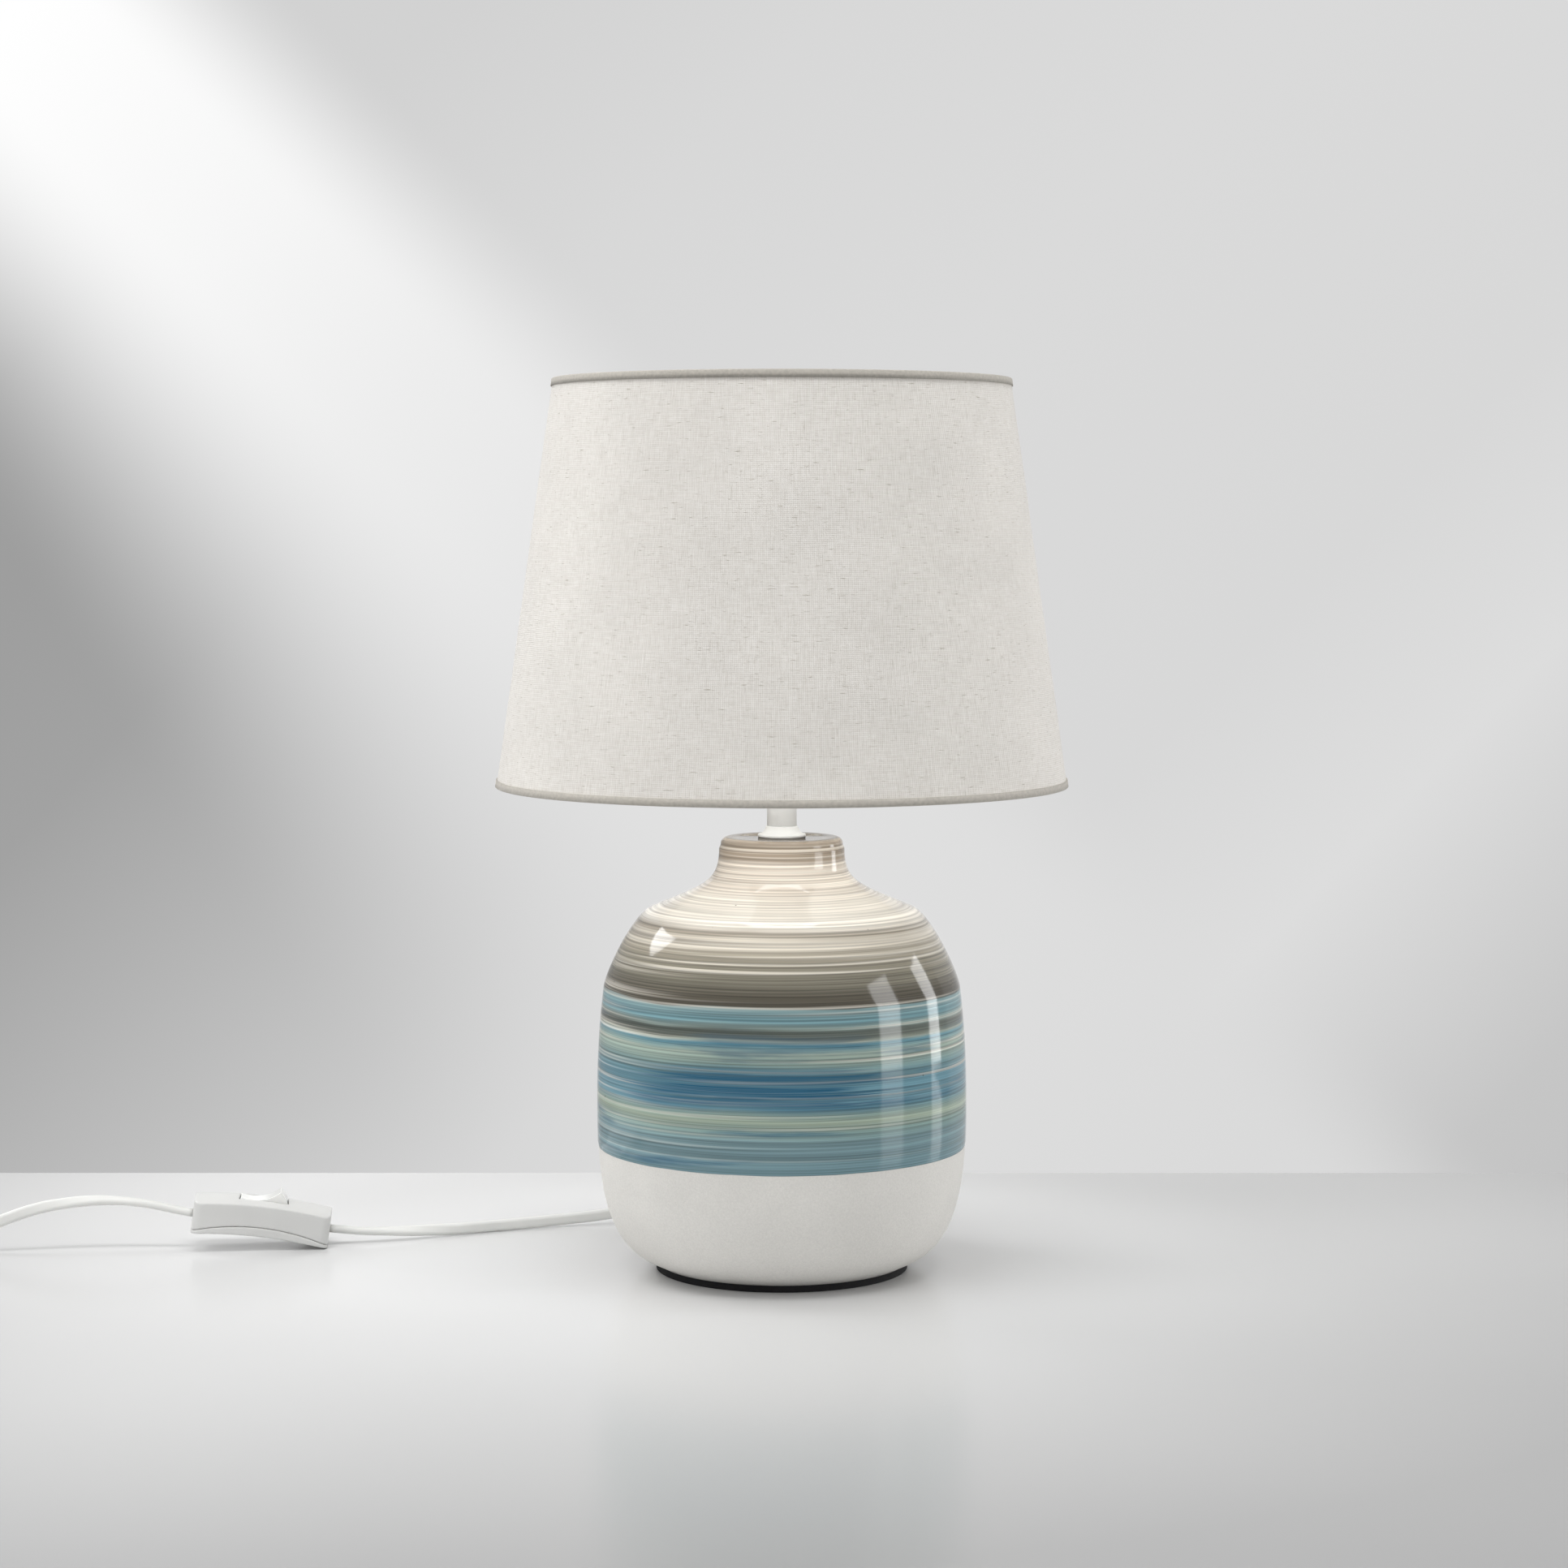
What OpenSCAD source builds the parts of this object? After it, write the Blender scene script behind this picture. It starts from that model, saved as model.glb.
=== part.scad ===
/* [Ceramic base] */
// Radius of the foot pad under the ceramic
foot_r = 57.5; // [50:0.5:65]
// Thickness of the foot pad
pad_t = 3; // [2:0.5:5]
// Radius of the ceramic at its widest
belly_r = 84; // [70:1:101]
// Height of the widest place
belly_z = 70; // [58:1:84]
// Radius where the side turns into the shoulder
shoulder_r = 81; // [67.5:0.5:97.5]
// Height from the widest place up to the shoulder
shoulder_rise = 59; // [49:1:71]
// Radius in the middle of the sloping shoulder
slope_r = 60; // [50:1:72]
// Height from the shoulder up to the middle of its slope
slope_rise = 36; // [30:1:44]
// Radius of the neck
neck_r = 28.3; // [24:0.1:34]
// Height from the middle of the slope up to the neck
neck_rise = 27; // [22.5:0.5:33]
// Height of the neck
neck_h = 5.5; // [4.5:0.5:8]
// Rounding of the neck's lip
lip_round = 3; // [1:0.5:4]
// Thickness of the ceramic wall
wall = 7; // [5:0.5:9]
// Width of the ceramic foot ring
foot_ring_w = 9; // [6:1:14]
// Height of the underside of the raised floor
floor_z = 26; // [25:1:32]
// Thickness of the raised floor
floor_t = 8; // [6:1:12]
// Thickness of the web that closes the neck
web_t = 8; // [6:1:12]

/* [Cord exit] */
// Height of the cord exit
exit_z = 16; // [14:1:17]
// Radius of the hole for the cord grip
exit_hole_r = 5; // [4.5:0.1:6]
// Radius of the cord grip's flange
grip_flange_r = 7; // [6.5:0.1:8]
// Length of the cord grip's tapered tail
grip_tail = 23; // [20:1:30]

/* [Stem] */
// Outer radius of the threaded tube
tube_r = 5; // [4.5:0.1:6]
// Wall of the threaded tube
tube_wall = 1.1; // [0.8:0.1:1.3]
// Radius of the stem sleeve
stem_r = 6.75; // [6.4:0.05:8.1]
// Height of the stem sleeve above the neck
stem_h = 28.5; // [24:0.5:34]
// How far the collar's flange stands out from the stem
collar_w = 4.1; // [3.4:0.1:6]
// Height of the collar
collar_h = 5; // [4:0.5:7]
// Thickness of the base washer
washer_t = 2; // [1:0.5:3]
// Radius of the base washer
washer_r = 15; // [12:1:20]
// Thickness of the lock washer
lock_t = 1; // [0.6:0.1:1.5]
// Width across the flats of the lower nut
nut_af = 14; // [13:1:17]
// Thickness of the lower nut
nut_t = 3; // [2:0.5:4]

/* [Lamp holder] */
// Height of the holder's cap
cap_h = 20; // [17:1:24]
// Height of the shell above the cap
shell_h = 36; // [32:1:42]
// How far the flange that the shade sits on stands out from the shell
flange_w = 4.7; // [4:0.1:5.6]
// Thickness of the shell's flange
flange_t = 3; // [2:0.5:4]
// Gap round the bulb's cap in the shell's bore
socket_gap = 0.5; // [0.4:0.05:0.75]
// Width of the ledge that holds the insert down
insert_ledge = 2.05; // [1.7:0.05:2.5]
// Wall of the holder's plastic pieces
holder_wall = 2; // [1.6:0.1:2.4]
// How far the clamp ring stands out from the shell
clamp_w = 7.7; // [6.5:0.1:9.5]
// Height of the clamp ring
clamp_h = 7; // [5:0.5:9]
// Number of grip flutes round the clamp ring
clamp_flutes = 18; // [12:1:24]

/* [Bulb] */
// Radius of the bulb's globe
globe_r = 30; // [25:1:33]
// Radius of the bulb's screw cap
bulb_cap_r = 13.25; // [11.5:0.05:15.9]
// Overall length of the bulb
bulb_len = 105; // [98:1:115]
// Wall of the bulb's globe
globe_wall = 1.2; // [1:0.1:2]

/* [Shade] */
// Radius of the shade's bottom edge
shade_bottom_r = 129.7; // [108:0.1:156]
// Radius of the shade's top edge
shade_top_r = 103.4; // [86:0.1:125]
// How far the shade's bottom edge hangs below the fitter ring
shade_drop = 28.3; // [23.5:0.1:34]
// Height of the shade
shade_h = 183.6; // [153:0.1:221]
// Thickness of the fabric
fabric_t = 0.6; // [0.4:0.1:1]
// Thickness of the liner
liner_t = 0.4; // [0.3:0.1:0.6]
// Height of the rolled hems
hem_h = 3.5; // [3:0.5:6]
// Radius of the wire in the rings and arms
wire_r = 1.25; // [1:0.05:1.6]
// Gap between the holder's shell and the fitter ring's bore
fitter_gap = 1.1; // [0.5:0.1:1.6]
// Width of the fitter ring's band
fitter_w = 6; // [4:0.5:8]
// Thickness of the fitter ring
fitter_t = 2; // [1.5:0.1:3]
// Number of spider arms
arm_count = 3; // [3:1:4]

/* [Cord] */
// Width of the flat twin cord
cord_w = 5.6; // [5:0.1:6]
// Thickness of the flat twin cord
cord_t = 3.4; // [3:0.1:3.8]

/* [Cord switch] */
// Length of the switch
switch_l = 64; // [54:1:72]
// Width of the switch
switch_w = 25; // [20.8:0.1:30]
// Depth of the rocker's pivot under the top of the switch
pivot_depth = 5.7; // [5.2:0.1:6.9]
// Height of the rocker's pivot above the contact see-saw
seesaw_gap = 7.1; // [5.9:0.1:8.5]
// Height of the contact see-saw above the switch's floor
seesaw_rise = 2.5; // [2.4:0.1:3]
// How much the ends of the switch hang below its middle
switch_sag = 2.2; // [1.5:0.1:3]
// How much the middle of its top stands above the long edges
switch_crown = 2.6; // [1.5:0.1:3]
// Corner radius of the switch in plan
switch_corner = 4; // [2:0.5:6]
// Wall of the switch's shells
switch_wall = 1.7; // [1.4:0.1:2]
// Radius of the rocker's ends about its pivot
rocker_r = 12; // [10:0.5:14]
// Width of the rocker
rocker_w = 12.6; // [10:0.2:15.2]
// Angle of the rocker either side of level
rocker_tilt = 14; // [10:1:14]
// Radius of the rocker's pin
pin_r = 1; // [0.8:0.1:1.3]

/* [Plug] */
// Length of the plug's body
plug_l = 36; // [32:1:40]
// Width of the plug's body
plug_w = 35.3; // [33:0.1:36]
// Thickness of the plug's body
plug_t = 13.7; // [12:0.1:15]
// Distance between the plug's pins
pin_pitch = 18.6; // [18:0.1:19]
// Length of the plug's pins
plug_pin_l = 19; // [18:0.5:20]

/* [Hidden] */

$fn = 96;
fine = 180;
// A touching fit, a sliding fit and a running fit, as gaps
snug = 0.05;
slide = 0.1;
loose = 0.4;

// Heights up the ceramic
shoulder_z = belly_z + shoulder_rise;
slope_z = shoulder_z + slope_rise;
neck_z = slope_z + neck_rise;
body_h = neck_z + neck_h;

// Stack of heights up the stem
nut_z = floor_z - washer_t - lock_t - nut_t;
tube_z = nut_z - 1;
holder_z = body_h + stem_h;
seat_z = holder_z + cap_h;
fitter_z = seat_z + flange_t + slide;
clamp_z = fitter_z + fitter_t + slide;
shell_top = seat_z + shell_h;
insert_z = seat_z - 5;
insert_top = seat_z + 6;
tube_top = insert_z - 5;

// Radii that follow from what they hold
tube_bore_r = tube_r - tube_wall;
collar_r = stem_r + snug + collar_w;
socket_r = bulb_cap_r + socket_gap;
insert_bore_r = socket_r + insert_ledge;
holder_r = insert_bore_r + 2 * holder_wall;
flange_r = holder_r + flange_w;
clamp_r = holder_r + clamp_w;
fitter_bore_r = holder_r + fitter_gap;

// Bulb
bulb_z = insert_top + 4;
bulb_cap_z = bulb_z + 5;
bulb_cap_h = shell_top + 1 - bulb_cap_z;
globe_z = bulb_z + bulb_len - globe_r;
globe_cut = globe_z - globe_r * 0.37;

// Cord grip
grip_y = foot_r + 12.5;
grip_flange_t = 3;
grip_end = grip_y + grip_flange_t + grip_tail;

// Shade cone
shade_z = fitter_z - shade_drop;
shade_lean = (shade_bottom_r - shade_top_r) / shade_h;
shade_top = shade_z + shade_h;
hem_t = 0.5;
ring_in = fabric_t + liner_t + wire_r + 0.3;
function shade_r(z) = shade_bottom_r - (z - shade_z) * shade_lean;

// Switch, in its own frame: x along it, z up, origin level with the cords
switch_at = [-245, 42.5, 11.8];
switch_pitch = 8;
switch_yaw = 7;
seesaw_z = -0.9;
pivot_z = seesaw_z + seesaw_gap;
switch_top = pivot_z + pivot_depth;
switch_under = seesaw_z - seesaw_rise - switch_wall;
arch_r = ((switch_l / 2) ^ 2 + switch_sag ^ 2) / (2 * switch_sag);
crown_r = ((switch_w / 2) ^ 2 + switch_crown ^ 2) / (2 * switch_crown);
seam_rise = 4.3;
seam_sag = switch_sag + 2.8;
seam_r = ((switch_l / 2) ^ 2 + seam_sag ^ 2) / (2 * seam_sag);
seam_z = switch_under + seam_rise;
cord_in_z = 0.4;
rocker_top = pivot_depth + 1.9;
rocker_dish = 2.4;
rocker_leg = seesaw_gap - 2.5;
plunger_r = 1.5;
seesaw_tilt = 6;

// Free cord, from the lamp to the switch and from the switch to the coil
cord_a = [
    [0, grip_end, exit_z], [0, grip_end + 1, exit_z], [0, grip_end + 6, 15.8], [-2, 111, 15.1], [-8, 119, 14.1], [-17, 124, 12.9],
    [-26, 125, 11.7], [-35, 122, 10.6], [-46, 116, 9.2], [-58, 109, 7.6], [-72, 101, 6.1],
    [-86, 94, 5], [-100, 90, 4.4], [-113, 86, 4], [-126, 81, 3.7], [-139, 75.5, 3.6],
    [-153, 68.5, 3.8], [-166, 62, 4.2], [-180, 56, 4.5], [-196, 51, 5.4], [-204, 49, 6.3]
];
cord_b = [
    [-286, 38, 18.6], [-296, 37.5, 20.8], [-307, 37, 22.4], [-318, 36, 23.1], [-328, 34.5, 22.9],
    [-337, 33, 22], [-345, 31.7, 20.8], [-355, 30, 18.2], [-365, 29, 14.6], [-375, 28.3, 10.7],
    [-385, 28.3, 7.5], [-396, 28.5, 5.2], [-408, 28.6, 4], [-418, 28.6, 3.6]
];
// Coil: centre, middle radius, turns beside each other, layers, and what it lies on
coil_at = [-430, -6, 0];
coil_mid_r = 31;
coil_turns = 3;
coil_layers = 2;
tie_t = 0.8;
tie_w = 12;
turn_pitch = cord_t + 0.2;
coil_in_r = coil_mid_r - coil_turns * turn_pitch / 2;
coil_out_r = coil_mid_r + coil_turns * turn_pitch / 2;
coil_h = coil_layers * cord_w + 0.1;
// Plug: middle of its cord end
plug_at = [-466, -64, plug_t / 2];
plug_relief_l = 22;
cord_c = [
    [-464.6, -10, 9.2], [-464.8, -18, 9], [-465.2, -27, 8.4], [-465.7, -35, 7.5],
    [plug_at.x, plug_at.y + plug_relief_l + 1, plug_at.z],
    [plug_at.x, plug_at.y + plug_relief_l, plug_at.z]
];

// ---- outlines and sweeps ----

function bezier(a, b, c, d, n) = [
    for (i = [0 : n - 1])
        let (t = i / n, u = 1 - t)
            u ^ 3 * a + 3 * u * u * t * b + 3 * u * t * t * c + t ^ 3 * d
];

// Half outline of the ceramic from its foot ring to its lip
ceramic_foot = [foot_r + 0.5, pad_t];
ceramic_outline = concat(
    bezier(ceramic_foot,
           ceramic_foot + [0.7 * (belly_r - foot_r), 7],
           [belly_r, belly_z * 0.41],
           [belly_r, belly_z], 14),
    bezier([belly_r, belly_z],
           [belly_r, belly_z + 17],
           [shoulder_r + 3, shoulder_z - 25],
           [shoulder_r, shoulder_z], 8),
    bezier([shoulder_r, shoulder_z],
           [shoulder_r - 0.85, shoulder_z + 7],
           [slope_r + 7.8, slope_z - 3.3],
           [slope_r, slope_z], 12),
    bezier([slope_r, slope_z],
           [slope_r - 25.3, slope_z + 10.7],
           [neck_r + 0.2, neck_z - 15],
           [neck_r, neck_z], 14),
    [[neck_r, neck_z], [neck_r - 0.8, body_h - lip_round]]
);

function unit(v) = v / norm(v);

// The same outline moved inwards by a wall, point by point
function inset(pts, t) = [
    for (i = [0 : len(pts) - 1])
        let (d = unit(pts[min(i + 1, len(pts) - 1)] - pts[max(i - 1, 0)]))
            pts[i] - t * [d.y, -d.x]
];

// Direction of a route at point i
function heading(route, i) =
    unit(route[min(i + 1, len(route) - 1)] - route[max(i - 1, 0)]);

function ring_points(p, d, half_across, half_up, sides, upright) =
    let (side = unit(cross(d, upright)), up = cross(side, d))
        [for (k = [0 : sides - 1])
            p + half_across * cos(360 * (k + 0.5) / sides) * side
              + half_up * sin(360 * (k + 0.5) / sides) * up];

// A closed tube along a route that never runs along its upright direction
module tube(route, half_across, half_up, sides = 8, upright = [0, 0, 1]) {
    n = len(route);
    points = [for (i = [0 : n - 1])
        each ring_points(route[i], heading(route, i), half_across, half_up, sides, upright)];
    walls = [for (i = [0 : n - 2], k = [0 : sides - 1])
        [i * sides + k, i * sides + (k + 1) % sides,
         (i + 1) * sides + (k + 1) % sides, (i + 1) * sides + k]];
    start = [[for (k = [sides - 1 : -1 : 0]) k]];
    end = [[for (k = [0 : sides - 1]) (n - 1) * sides + k]];
    polyhedron(points, concat(start, walls, end));
}

module ring(outer, inner, z, h) {
    translate([0, 0, z])
        difference() {
            cylinder(r = outer, h = h);
            translate([0, 0, -1])
                cylinder(r = inner, h = h + 2);
        }
}

module rounded_rectangle(l, w, r) {
    hull()
        for (x = [-1, 1], y = [-1, 1])
            translate([x * (l / 2 - r), y * (w / 2 - r)])
                circle(r, $fn = 32);
}

// ---- base ----

module foot_pad() {
    color("#1d1d1f")
        cylinder(r = foot_r, h = pad_t);
}

module ceramic_solid() {
    rotate_extrude($fn = fine) {
        polygon(concat([[0, pad_t]], ceramic_outline,
                       [[neck_r - 0.8 - lip_round, body_h - lip_round], [0, body_h - lip_round]]));
        difference() {
            union() {
                square([neck_r - 0.8 - lip_round, body_h]);
                translate([neck_r - 0.8 - lip_round, body_h - lip_round])
                    circle(lip_round, $fn = 48);
            }
            square([neck_r + 5, neck_z]);
        }
    }
}

module ceramic_hollow() {
    inner = inset(ceramic_outline, wall);
    rotate_extrude($fn = fine)
        intersection() {
            polygon(concat([[0, inner[0].y]], inner, [[0, inner[len(inner) - 1].y]]));
            union() {
                square([belly_r * 1.5, floor_z]);
                translate([0, floor_z + floor_t])
                    square([belly_r * 1.5, body_h - web_t - floor_z - floor_t]);
            }
        }
}

module exit_bore(r, from, to) {
    translate([0, from, exit_z])
        rotate([-90, 0, 0])
            cylinder(r = r, h = to - from);
}

module ceramic_body() {
    color("#6f93a6")
        difference() {
            union() {
                difference() {
                    ceramic_solid();
                    ceramic_hollow();
                    cylinder(r = foot_r - foot_ring_w, h = floor_z);
                }
                intersection() {
                    ceramic_solid();
                    exit_bore(grip_flange_r + 3, foot_r, belly_r);
                }
            }
            exit_bore(exit_hole_r + slide, foot_r - 20, belly_r + 10);
            exit_bore(grip_flange_r + slide, grip_y, belly_r + 10);
            cylinder(r = tube_r + slide, h = body_h + 1);
        }
}

module base_washer() {
    color("#b9bcc0")
        ring(washer_r, tube_r + slide, floor_z - washer_t, washer_t);
}

// Lock washer: a flat ring with outer teeth
module lock_washer() {
    color("#a8abb0")
        translate([0, 0, nut_z + nut_t])
            difference() {
                union() {
                    cylinder(r = nut_af / 2, h = lock_t);
                    for (i = [0 : 11])
                        rotate(i * 30)
                            translate([nut_af / 2 - 0.5, -0.8, 0])
                                cube([1.8, 1.6, lock_t]);
                }
                translate([0, 0, -1])
                    cylinder(r = tube_r + slide, h = lock_t + 2);
            }
}

module lower_nut() {
    color("#c4b06a")
        translate([0, 0, nut_z])
            difference() {
                cylinder(r = nut_af / 2 / cos(30), h = nut_t, $fn = 6);
                translate([0, 0, -1])
                    cylinder(r = tube_r + snug, h = nut_t + 2);
            }
}

module threaded_tube() {
    color("#c9ccd0")
        ring(tube_r, tube_bore_r, tube_z, tube_top - tube_z);
}

// Collar: a flange that runs up into the stem with a hollow curve
module stem_collar() {
    rise = collar_h - 1.6;
    color("#f1f1ee")
        translate([0, 0, body_h])
            rotate_extrude()
                difference() {
                    union() {
                        translate([stem_r + snug, 0])
                            square([collar_r - stem_r - snug, 1.6]);
                        translate([stem_r + snug, 1.5])
                            square([rise, rise + 0.1]);
                    }
                    translate([stem_r + snug + rise + 0.6, 1.6 + rise])
                        circle(rise, $fn = 48);
                    translate([collar_r - 0.4, 1.7])
                        square([10, 10]);
                }
}

module stem_sleeve() {
    color("#f4f4f1")
        ring(stem_r, tube_r + slide, body_h, stem_h - snug);
}

module flat_bore(l, grow = 0.1) {
    rotate([-90, 0, 0])
        linear_extrude(l)
            hull()
                for (s = [-1, 1])
                    translate([0, s * (cord_w - cord_t) / 2])
                        circle(cord_t / 2 + grow, $fn = 32);
}

// Cord grip: flange, neck through the wall, tapered tail with flexing slots
module cord_grip() {
    color("#f2f2ef")
        translate([0, grip_y, exit_z])
            difference() {
                rotate([-90, 0, 0]) {
                    cylinder(r = grip_flange_r, h = grip_flange_t);
                    translate([0, 0, -10])
                        cylinder(r = exit_hole_r, h = 10.5);
                    translate([0, 0, grip_flange_t])
                        cylinder(r1 = exit_hole_r + 0.4, r2 = cord_w / 2 + 0.7, h = grip_tail);
                }
                translate([0, -11, 0])
                    flat_bore(grip_tail + grip_flange_t + 12);
                for (i = [0 : 3], s = [-1, 1])
                    translate([s * 6.2, grip_flange_t + 4 + i * 4.5, 0])
                        cube([6, 1.4, 14], center = true);
            }
}

// Held cord: through the grip, under the floor, up the tube into the holder
module inner_cord() {
    bend = 13;
    low = pad_t + cord_w / 2 + 2;
    turn = [for (a = [0 : 15 : 90])
        [0, bend - bend * sin(a), low + bend - bend * cos(a)]];
    route = concat(
        [[0, grip_end, exit_z], [0, grip_y - 10, exit_z], [0, grip_y - 20, exit_z - 1.2],
         [0, 38, low + 2.6], [0, 27, low + 0.6]],
        turn,
        [[0, 0, 60], [0, 0, tube_top - 2]]
    );
    color("#efefec")
        tube(route, cord_w / 2 - snug, cord_t / 2, 8, [1, 0, 0]);
}

// ---- lamp holder ----

module holder_cap() {
    neck = stem_r + 1.75;
    color("#f0f0ed")
        translate([0, 0, holder_z])
            rotate_extrude()
                difference() {
                    union() {
                        translate([tube_r + snug, 0])
                            square([neck - tube_r - snug, 9]);
                        polygon([
                            [neck - 1, 0], [neck, 0], [neck + 1, 2.5],
                            [holder_r - 2.5, cap_h * 0.45],
                            [holder_r, cap_h * 0.65], [holder_r, cap_h - snug],
                            [holder_r - holder_wall, cap_h - snug],
                            [holder_r - holder_wall, cap_h * 0.7],
                            [holder_r - 4.5, cap_h * 0.5], [neck - 1, 4.5]
                        ]);
                    }
                    square([tube_r + snug, 40]);
                }
}

module terminal_places() {
    for (s = [-1, 1])
        translate([s * 9, 0, 0])
            children();
}

module holder_insert() {
    color("#e9e6df")
        difference() {
            translate([0, 0, insert_z])
                cylinder(r = insert_bore_r - 0.2, h = insert_top - insert_z);
            terminal_places()
                translate([0, 0, insert_z - 1])
                    cylinder(r = 1.5 + snug, h = 9, $fn = 32);
            for (s = [-1, 1])
                translate([s * 9, 7, insert_z - 1])
                    cylinder(r = 1.4, h = 20, $fn = 32);
            translate([0, 0, insert_top - 1])
                cylinder(r = 9, h = 3);
        }
}

module holder_shell() {
    color("#f0f0ed")
        rotate_extrude()
            difference() {
                union() {
                    translate([0, seat_z - 6])
                        square([holder_r - holder_wall - slide, 7]);
                    translate([0, seat_z])
                        square([flange_r, flange_t]);
                    translate([0, seat_z])
                        square([holder_r, shell_h]);
                }
                translate([0, seat_z - 7])
                    square([insert_bore_r, insert_top - seat_z + 7 + snug]);
                translate([0, seat_z - 7])
                    square([socket_r, 60]);
            }
}

module centre_contact() {
    color("#c9a24b")
        translate([0, 0, insert_top - 1]) {
            translate([-7, -2, snug])
                cube([14, 4, 0.6]);
            translate([0, 0, 0.6])
                cylinder(r1 = 2.4, r2 = 1.6, h = 4);
        }
}

module side_contact() {
    color("#c9a24b")
        translate([0, 0, insert_top + snug]) {
            translate([-2.5, 0.55 - socket_r, 0])
                cube([5, 4, 0.6]);
            translate([-2, 0.55 - socket_r, 0])
                cube([4, 0.7, 8.4]);
        }
}

module terminal_screws() {
    color("#cfd1d4")
        terminal_places() {
            translate([0, 0, insert_z - 2])
                difference() {
                    cylinder(r = 2.8, h = 2 - snug, $fn = 48);
                    translate([-4, -0.4, -1])
                        cube([8, 0.8, 1.7]);
                }
            translate([0, 0, insert_z - 0.5])
                cylinder(r = 1.5, h = 7, $fn = 32);
        }
}

module holder_leads() {
    color("#8a5a3a")
        for (s = [-1, 1])
            tube([[s * 1.2, 0, tube_top - 2 + snug], [s * 1.2, 0, tube_top - 1.5],
                  [s * 1.8, 1, tube_top + 0.3],
                  [s * 5.5, 5.2, tube_top + 2], [s * 8.4, 6.9, tube_top + 3.2],
                  [s * 9, 7, tube_top + 5], [s * 9, 7, insert_top - 1]],
                 0.9, 0.9, 8, [-s, 1, 0]);
}

module clamp_ring() {
    color("#f2f2ef")
        translate([0, 0, clamp_z])
            difference() {
                cylinder(r = clamp_r, h = clamp_h);
                translate([0, 0, -1])
                    cylinder(r = holder_r + 0.08, h = clamp_h + 2);
                for (i = [0 : clamp_flutes - 1])
                    rotate(i * 360 / clamp_flutes)
                        translate([clamp_r + 0.9, 0, 1.5])
                            cylinder(r = 2, h = clamp_h, $fn = 24);
            }
}

// ---- bulb ----

module bulb_cap() {
    color("#b9babd")
        translate([0, 0, bulb_cap_z])
            rotate_extrude()
                difference() {
                    square([bulb_cap_r, bulb_cap_h]);
                    translate([0, -1])
                        square([bulb_cap_r - 0.6, bulb_cap_h + 2]);
                }
}

module bulb_insulator() {
    color("#26242a")
        translate([0, 0, bulb_cap_z - 3.6])
            difference() {
                cylinder(r1 = 6.5, r2 = bulb_cap_r - 1.1, h = 4.6);
                translate([0, 0, -1])
                    cylinder(r = 2, h = 8);
            }
}

module bulb_tip() {
    color("#bfc1c4")
        translate([0, 0, bulb_z]) {
            cylinder(r = 4.6, h = 1.35);
            cylinder(r = 1.9, h = 5);
        }
}

module bulb_housing() {
    foot = bulb_cap_z + bulb_cap_h;
    rim = sqrt(globe_r ^ 2 - (globe_z - globe_cut) ^ 2);
    color("#f3f3f1")
        rotate_extrude()
            difference() {
                polygon([
                    [0, foot - 6], [bulb_cap_r - 0.7, foot - 6], [bulb_cap_r - 0.7, foot],
                    [bulb_cap_r + 0.6, foot + snug], [bulb_cap_r + 1.2, foot + 2],
                    [rim, globe_cut - snug], [0, globe_cut - snug]
                ]);
                polygon([
                    [0, foot - 8], [bulb_cap_r - 2.6, foot - 8], [bulb_cap_r - 1.8, foot + 2],
                    [rim - 2.4, globe_cut - 3], [rim - 2.4, globe_cut + 1], [0, globe_cut + 1]
                ]);
            }
}

module led_driver() {
    driver_w = 2 * (bulb_cap_r - 4.25);
    color("#3c6b4a")
        translate([-driver_w / 2, -0.8, bulb_cap_z + bulb_cap_h - 12])
            cube([driver_w, 1.6, 30]);
}

led_r = sqrt(globe_r ^ 2 - (globe_z - globe_cut) ^ 2) - 2.7;

module led_plate() {
    color("#d6d8da")
        translate([0, 0, globe_cut - 2.6])
            cylinder(r = led_r, h = 1.6);
}

module led_chips() {
    color("#f1d36a")
        for (i = [0 : 11])
            rotate(i * 30)
                translate([led_r * 0.7 - 1.4, -1.4, globe_cut - 1 + snug])
                    cube([2.8, 2.8, 0.8]);
}

module bulb_globe() {
    color("#fbfaf5")
        difference() {
            translate([0, 0, globe_z])
                sphere(globe_r);
            translate([0, 0, globe_z])
                sphere(globe_r - globe_wall);
            translate([0, 0, globe_cut - 60])
                cylinder(r = 60, h = 60);
        }
}

// ---- shade ----

// Half section of a cone band between two depths inside the shade's outer face
module cone_band(depth_out, depth_in, z_low, z_high) {
    polygon([
        [shade_r(z_low) - depth_out, z_low], [shade_r(z_high) - depth_out, z_high],
        [shade_r(z_high) - depth_in, z_high], [shade_r(z_low) - depth_in, z_low]
    ]);
}

module shade_fabric() {
    color("#dedbd3")
        rotate_extrude($fn = fine)
            cone_band(hem_t, hem_t + fabric_t, shade_z + hem_t, shade_top - hem_t);
}

module shade_liner() {
    color("#f6f5f1")
        rotate_extrude($fn = fine)
            cone_band(hem_t + fabric_t + snug, hem_t + fabric_t + liner_t,
                      shade_z + hem_t + 0.2, shade_top - hem_t - 0.2);
}

// A hem folds round the edge and its wire, and up the inside
module hem(z_low, z_high, open_low, open_high) {
    depth = hem_t + ring_in + wire_r;
    color("#d2cfc6")
        rotate_extrude($fn = fine)
            difference() {
                cone_band(0, depth + hem_t, z_low, z_high);
                cone_band(hem_t, depth, open_low, open_high);
            }
}

module shade_hem_bottom() {
    hem(shade_z, shade_z + hem_h, shade_z + hem_t, shade_z + hem_h + 1);
}

module shade_hem_top() {
    hem(shade_top - hem_h, shade_top, shade_top - hem_h - 1, shade_top - hem_t);
}

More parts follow.
